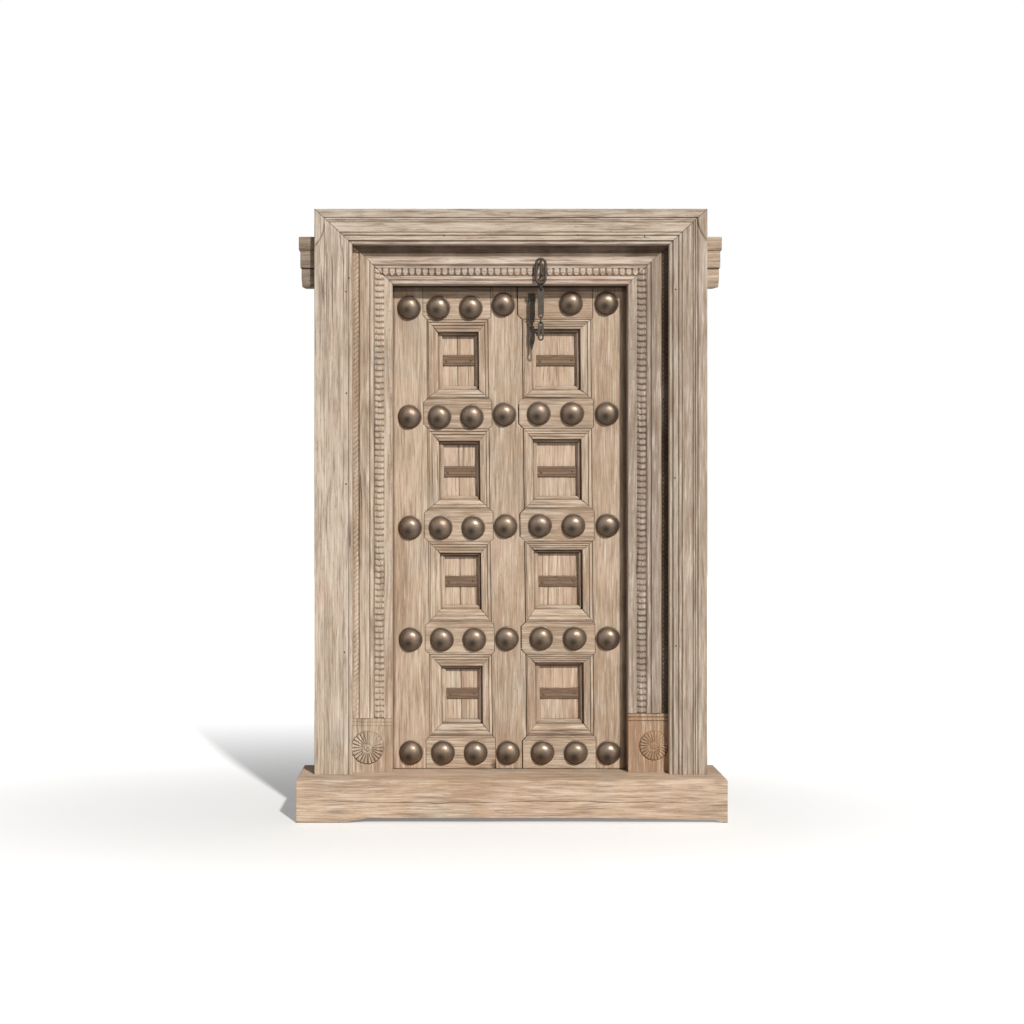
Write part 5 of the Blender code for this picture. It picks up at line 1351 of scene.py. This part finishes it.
def stage_light(light):
    """A soft sky for the object, white for the eye, and one soft lamp from the upper right."""
    world = bpy.data.worlds.new("Studio")
    bpy.context.scene.world = world
    t = Tree(world)
    seen = eye = t.node("ShaderNodeLightPath", {}, output="Is Camera Ray")
    for ray in ("Is Glossy Ray", "Is Transmission Ray"):
        seen = seen.maths("MAXIMUM", eye.beside(ray))
    background = t.nodes["Background"]
    t.feed(background.inputs["Color"], rgb((1.0, 1.0, 1.0)))
    t.feed(background.inputs["Strength"], t.node("ShaderNodeMapRange", {}, seen, None, None, light.sky, 1.0))
    lamp = bpy.data.lights.new("key", "SUN")
    lamp.energy = light.key
    lamp.angle = light.softness
    lamp.color = (1.0, 0.985, 0.955)
    key = bpy.data.objects.new("key", lamp)
    key.rotation_euler = Vector((0.329, -0.730, 0.599)).to_track_quat("Z", "Y").to_euler()
    bpy.context.scene.collection.objects.link(key)


def stage_camera():
    """The camera stands a little left of the middle, level with the door's middle rails."""
    data = bpy.data.cameras.new("camera")
    data.lens = 47.0
    data.sensor_width = 36.0
    data.shift_x = 0.0576
    data.shift_y = -0.0146
    data.dof.use_dof = False
    camera = bpy.data.objects.new("camera", data)
    camera.location = (-0.2025, -4.725, 1.1214)
    camera.rotation_euler = (math.radians(90.0), 0.0, 0.0)
    bpy.context.scene.collection.objects.link(camera)
    bpy.context.scene.camera = camera
    bpy.context.scene.view_settings.view_transform = "Standard"


# ---- settings


def colour(name, description, default):
    """A colour setting."""
    return bpy.props.FloatVectorProperty(name=name, description=description, default=default,
                                         subtype="COLOR", size=3, min=0.0, max=1.0)


def length(name, description, default):
    """A length setting, in metres."""
    return bpy.props.FloatProperty(name=name, description=description, default=default, unit="LENGTH",
                                   precision=4, min=0.0)


class HaveliDoorWood(bpy.types.PropertyGroup):
    """Colours and weathering of the teak."""

    jamb_pale: colour("Right jamb, pale", "Greyer wood of the right jamb", (0.44, 0.36, 0.30))
    jamb_tan: colour("Right jamb, tan", "Darker wood of the right jamb", (0.355, 0.28, 0.22))
    right_pale: colour("Right architrave, pale", "Outer moulding on the right", (0.52, 0.435, 0.35))
    right_tan: colour("Right architrave, tan", "Darker wood of the right moulding", (0.42, 0.335, 0.26))
    head_pale: colour("Head, pale", "Bleached wood of the carved head", (0.75, 0.63, 0.52))
    head_tan: colour("Head, tan", "Darker wood of the carved head", (0.63, 0.48, 0.385))
    block_pale: colour("Right block, pale", "Red-brown wood of the right block", (0.43, 0.265, 0.155))
    block_tan: colour("Right block, tan", "Darker wood of the right block", (0.35, 0.20, 0.115))
    architrave_pale: colour("Architrave, pale", "Bleached wood of the outer moulding", (0.66, 0.56, 0.46))
    architrave_tan: colour("Architrave, tan", "Darker wood of the outer moulding", (0.55, 0.44, 0.34))
    frame_pale: colour("Inner frame, pale", "Bleached wood of the carved inner frame", (0.60, 0.475, 0.365))
    frame_tan: colour("Inner frame, tan", "Darker wood of the carved inner frame", (0.47, 0.335, 0.235))
    # also the colour of the painted shade on the leaves' ledges and beside the right jamb
    leaf_groove_dirt_and_shade: colour("Leaf grooves and painted shade", "Red-brown dirt in the grooves of the leaves", (0.075, 0.036, 0.020))
    # the near-black band on the leaves' tops is soot together with painted shadow of the lintel
    soot_and_shade: colour("Soot and painted shade", "Near-black tops of the leaves, under the lintel", (0.045, 0.032, 0.022))
    leaf_pale: colour("Leaves, pale", "Sanded wood of the leaves", (0.60, 0.46, 0.34))
    leaf_tan: colour("Leaves, tan", "Darker wood of the leaves", (0.46, 0.325, 0.225))
    board_pale: colour("Boards, pale", "Wood of the boards in the panels", (0.66, 0.50, 0.37))
    board_tan: colour("Boards, tan", "Warmer wood of the boards in the panels", (0.55, 0.375, 0.255))
    sill_pale: colour("Threshold, pale", "Worn wood of the threshold", (0.62, 0.455, 0.325))
    sill_tan: colour("Threshold, tan", "Darker wood of the threshold", (0.50, 0.345, 0.235))
    grey_tint: colour("Grey tint", "Where the weather has greyed the wood", (0.47, 0.41, 0.345))
    pink_tint: colour("Pink tint", "Where old finish has left the wood pink", (0.60, 0.43, 0.345))
    dark_grain: colour("Dark grain", "Open grain and hard lines", (0.29, 0.20, 0.135))
    bleached_grain: colour("Bleached grain", "Fibres that light has bleached", (0.76, 0.66, 0.54))
    # also the colour of the painted shade on the frame
    crack_dirt_and_shade: colour("Cracks, grime and painted shade", "Splits, joints and the dirt in the carving", (0.085, 0.052, 0.032))
    # also sets how dark the painted shade is
    grime: bpy.props.FloatProperty(name="Grime", description="How dark the dirt in the carving is",
                                   default=0.85, min=0.0, max=1.0)
    relief: length("Grain relief", "Depth of the grain that the weather has opened", 0.0011)


class HaveliDoorCarving(bpy.types.PropertyGroup):
    """Sizes of the carved ornament."""

    reel_pitch: length("Reel pitch", "Distance between the reels down a jamb", 0.0215)
    reel_length: length("Reel length", "Height of one reel", 0.0160)
    reel_rise: length("Reel rise", "How far a reel stands up from its strip", 0.0058)
    reel_start: length("Reel strip start", "From the edge of the opening", 0.0295)
    reel_end: length("Reel strip end", "From the edge of the opening", 0.0615)
    strip_depth: length("Strip depth", "How deep the strips of ornament are sunk", 0.004)
    band_rise: length("Round band rise", "How far the round band stands up", 0.0038)
    scroll_left: length("Left scroll pitch", "Distance between the lobes of the left strip", 0.0175)
    scroll_right: length("Right scroll pitch", "Distance between the eyes of the right scroll", 0.0084)
    drop_pitch: length("Leaf pitch", "Distance between the hanging leaves of the head", 0.0232)
    drop_width: length("Leaf width", "Width of one hanging leaf", 0.0195)
    drop_rise: length("Leaf rise", "How far a hanging leaf stands up", 0.0055)
    drop_start: length("Leaf strip start", "From the top of the opening", 0.027)
    drop_end: length("Leaf strip end", "From the top of the opening", 0.055)
    petals: bpy.props.IntProperty(name="Petals", description="Petals of each rosette", default=24, min=8,
                                  max=48)


class HaveliDoorIron(bpy.types.PropertyGroup):
    """Sizes and colours of the ironwork."""

    stud_radius: length("Stud radius", "Radius of a stud over its flange", 0.0435)
    stud_rise: length("Stud rise", "How far a stud stands out", 0.030)
    stud: colour("Stud iron", "Brown patina of the studs", (0.225, 0.172, 0.130))
    stud_rust: colour("Stud rust", "Warmer patches on the studs", (0.265, 0.180, 0.122))
    strap: colour("Strap iron", "Rusted iron of the straps", (0.195, 0.122, 0.076))
    strap_rust: colour("Strap rust", "Warmer patches on the straps", (0.235, 0.135, 0.080))
    chain_worn: colour("Chain, worn", "Rubbed edges of the chain", (0.17, 0.14, 0.115))
    chain: colour("Chain iron", "Near-black iron of the door chain", (0.055, 0.045, 0.034))
    chain_rust: colour("Chain rust", "Warmer patches on the door chain", (0.115, 0.080, 0.052))
    # also the colour of the painted dark reflection on the studs
    iron_pits_and_dark_reflection: colour("Iron, dark", "Pits and seams of the iron", (0.030, 0.020, 0.014))
    iron_worn: colour("Iron, worn", "Where handling has brightened the iron", (0.42, 0.36, 0.30))


class HaveliDoorLight(bpy.types.PropertyGroup):
    """The studio's light."""

    sky: bpy.props.FloatProperty(name="Sky", description="Level of the soft light from all sides",
                                 default=0.175, min=0.0, max=2.0)
    key: bpy.props.FloatProperty(name="Key", description="Level of the lamp from the upper right",
                                 default=3.15, min=0.0, max=10.0)
    softness: bpy.props.FloatProperty(name="Softness", description="How wide the lamp looks from the door",
                                      default=math.radians(3.0), unit="ROTATION", min=0.0,
                                      max=math.radians(90))


def wood():
    """The wood's settings."""
    return bpy.context.scene.haveli_door_wood


def carving():
    """The carving's settings."""
    return bpy.context.scene.haveli_door_carving


def ironwork():
    """The ironwork's settings."""
    return bpy.context.scene.haveli_door_iron


def finish_of(name, make):
    """A finish that several operators share, made by the first of them."""
    return bpy.data.materials.get(name) or make(name)


def frame_teak():
    """The carved frame's wood."""
    look = wood()
    return finish_of("Carved frame teak", lambda name: teak(name, look, look.frame_pale, look.frame_tan))


def leaf_teak():
    """The wood of the leaves' uprights, rails and mouldings."""
    look = wood()
    return finish_of("Sanded leaf teak", lambda name: teak(name, look, look.leaf_pale, look.leaf_tan, 0.8,
                                                           True))


def chain_iron():
    """The near-black iron of the door chain and of the nails."""
    look = ironwork()
    return finish_of("Door chain iron", lambda name: iron(name, look, look.chain, look.chain_rust,
                                                          look.chain_worn, 0.48, 0.30))


# ---- operators


class HAVELI_OT_threshold(bpy.types.Operator):
    """Make the worn threshold."""

    bl_idname = "haveli.threshold"
    bl_label = "Threshold"

    def execute(self, context):
        look = wood()
        threshold(teak("Threshold teak", look, look.sill_pale, look.sill_tan, 0.8))
        return {"FINISHED"}


class HAVELI_OT_jambs(bpy.types.Operator):
    """Make the two carved jambs with their rosette blocks."""

    bl_idname = "haveli.jambs"
    bl_label = "Jambs"

    def execute(self, context):
        look, ornament = wood(), carving()
        finish = frame_teak()
        red = teak("Red-brown block teak", look, look.block_pale, look.block_tan, 0.6)
        jamb("jamb_left", -1, finish, finish, ornament, 0.341, ornament.scroll_left,
             (-0.504, 0.237, 0.0560, 0.0050, 15.0, 85.0))
        grey = teak("Grey jamb teak", look, look.jamb_pale, look.jamb_tan, 1.1)
        jamb("jamb_right", 1, grey, red, ornament, 0.359, ornament.scroll_right,
             (0.506, 0.244, 0.0500, 0.0038, -80.0, 80.0))
        return {"FINISHED"}


class HAVELI_OT_lintel(bpy.types.Operator):
    """Make the head beam with its carved face and horns."""

    bl_idname = "haveli.lintel"
    bl_label = "Lintel"

    def execute(self, context):
        look = wood()
        lintel_face(teak("Carved head teak", look, look.head_pale, look.head_tan), carving())
        lintel_body(frame_teak())
        return {"FINISHED"}


class HAVELI_OT_architrave(bpy.types.Operator):
    """Make the three lengths of planted moulding and their nails."""

    bl_idname = "haveli.architrave"
    bl_label = "Architrave"

    def execute(self, context):
        look = wood()
        left = teak("Bleached architrave teak", look, look.architrave_pale, look.architrave_tan, 0.8)
        right = teak("Grey architrave teak", look, look.right_pale, look.right_tan, 0.9)
        head = teak("Head architrave teak", look, look.architrave_pale, look.architrave_tan, 1.1)
        architrave(left, right, head)
        nails(chain_iron(), ((-0.577, 1.840), (-0.566, 1.888), (-0.576, 1.485), (-0.577, 1.167),
                             (-0.582, 0.579), (0.576, 1.848), (0.574, 1.188), (0.577, 0.600),
                             (-0.234, 2.036), (0.233, 2.040), (0.468, 2.032)))
        return {"FINISHED"}


class HAVELI_OT_leaves(bpy.types.Operator):
    """Make the boards, uprights and rails of both leaves."""

    bl_idname = "haveli.leaves"
    bl_label = "Leaves"

    def execute(self, context):
        look = wood()
        boards(teak("Panel board teak", look, look.board_pale, look.board_tan, 0.6, True))
        uprights(leaf_teak())
        rails(leaf_teak())
        return {"FINISHED"}


class HAVELI_OT_panels(bpy.types.Operator):
    """Make the panel mouldings and the straps across the panels."""

    bl_idname = "haveli.panels"
    bl_label = "Panels"

    def execute(self, context):
        look = ironwork()
        finish = iron("Strap iron", look, look.strap, look.strap_rust, look.strap_rust, 0.62, 0.25)
        for leaf in ("left", "right"):
            for row in range(4):
                panel_moulding(leaf_teak(), leaf, row)
                strap(finish, leaf, row)
        return {"FINISHED"}


class HAVELI_OT_studs(bpy.types.Operator):
    """Make the domed iron studs."""

    bl_idname = "haveli.studs"
    bl_label = "Studs"

    def execute(self, context):
        look = ironwork()
        studs(iron("Stud iron", look, look.stud, look.stud_rust, look.iron_worn, 0.36, 0.75), look)
        return {"FINISHED"}


class HAVELI_OT_chain(bpy.types.Operator):
    """Make both strands of the door chain with their staples."""

    bl_idname = "haveli.chain"
    bl_label = "Door chain"

    def execute(self, context):
        lintel_strand(chain_iron())
        leaf_strand(chain_iron())
        return {"FINISHED"}


class HAVELI_OT_stage(bpy.types.Operator):
    """Set up the floor, the light and the camera."""

    bl_idname = "haveli.stage"
    bl_label = "Stage"

    def execute(self, context):
        stage_floor()
        stage_light(context.scene.haveli_door_light)
        stage_camera()
        return {"FINISHED"}


OPERATORS = (HAVELI_OT_threshold, HAVELI_OT_jambs, HAVELI_OT_lintel, HAVELI_OT_architrave, HAVELI_OT_leaves,
             HAVELI_OT_panels, HAVELI_OT_studs, HAVELI_OT_chain, HAVELI_OT_stage)
SETTINGS = (("haveli_door_wood", HaveliDoorWood), ("haveli_door_carving", HaveliDoorCarving),
            ("haveli_door_iron", HaveliDoorIron), ("haveli_door_light", HaveliDoorLight))


class HAVELI_PT_door(bpy.types.Panel):
    """Lists the settings and the pieces of the door."""

    bl_idname = "HAVELI_PT_door"
    bl_label = "Haveli Door"
    bl_space_type = "VIEW_3D"
    bl_region_type = "UI"
    bl_category = "Haveli Door"

    def draw(self, context):
        for name, group in SETTINGS:
            box = self.layout.box()
            for key in group.__annotations__:
                box.prop(getattr(context.scene, name), key)
        for operator in OPERATORS:
            self.layout.operator(operator.bl_idname)


CLASSES = (*[group for _, group in SETTINGS], *OPERATORS, HAVELI_PT_door)


def register():
    """Adds the classes and their settings to the scene."""
    for item in CLASSES:
        bpy.utils.register_class(item)
    for name, group in SETTINGS:
        setattr(bpy.types.Scene, name, bpy.props.PointerProperty(type=group))


def unregister():
    """Takes the settings and the classes away again."""
    for name, _ in SETTINGS:
        delattr(bpy.types.Scene, name)
    for item in reversed(CLASSES):
        bpy.utils.unregister_class(item)


def main():
    """Makes every piece in order."""
    register()
    for operator in OPERATORS:
        family, name = operator.bl_idname.split(".")
        getattr(getattr(bpy.ops, family), name)()


if __name__ == "__main__":
    main()
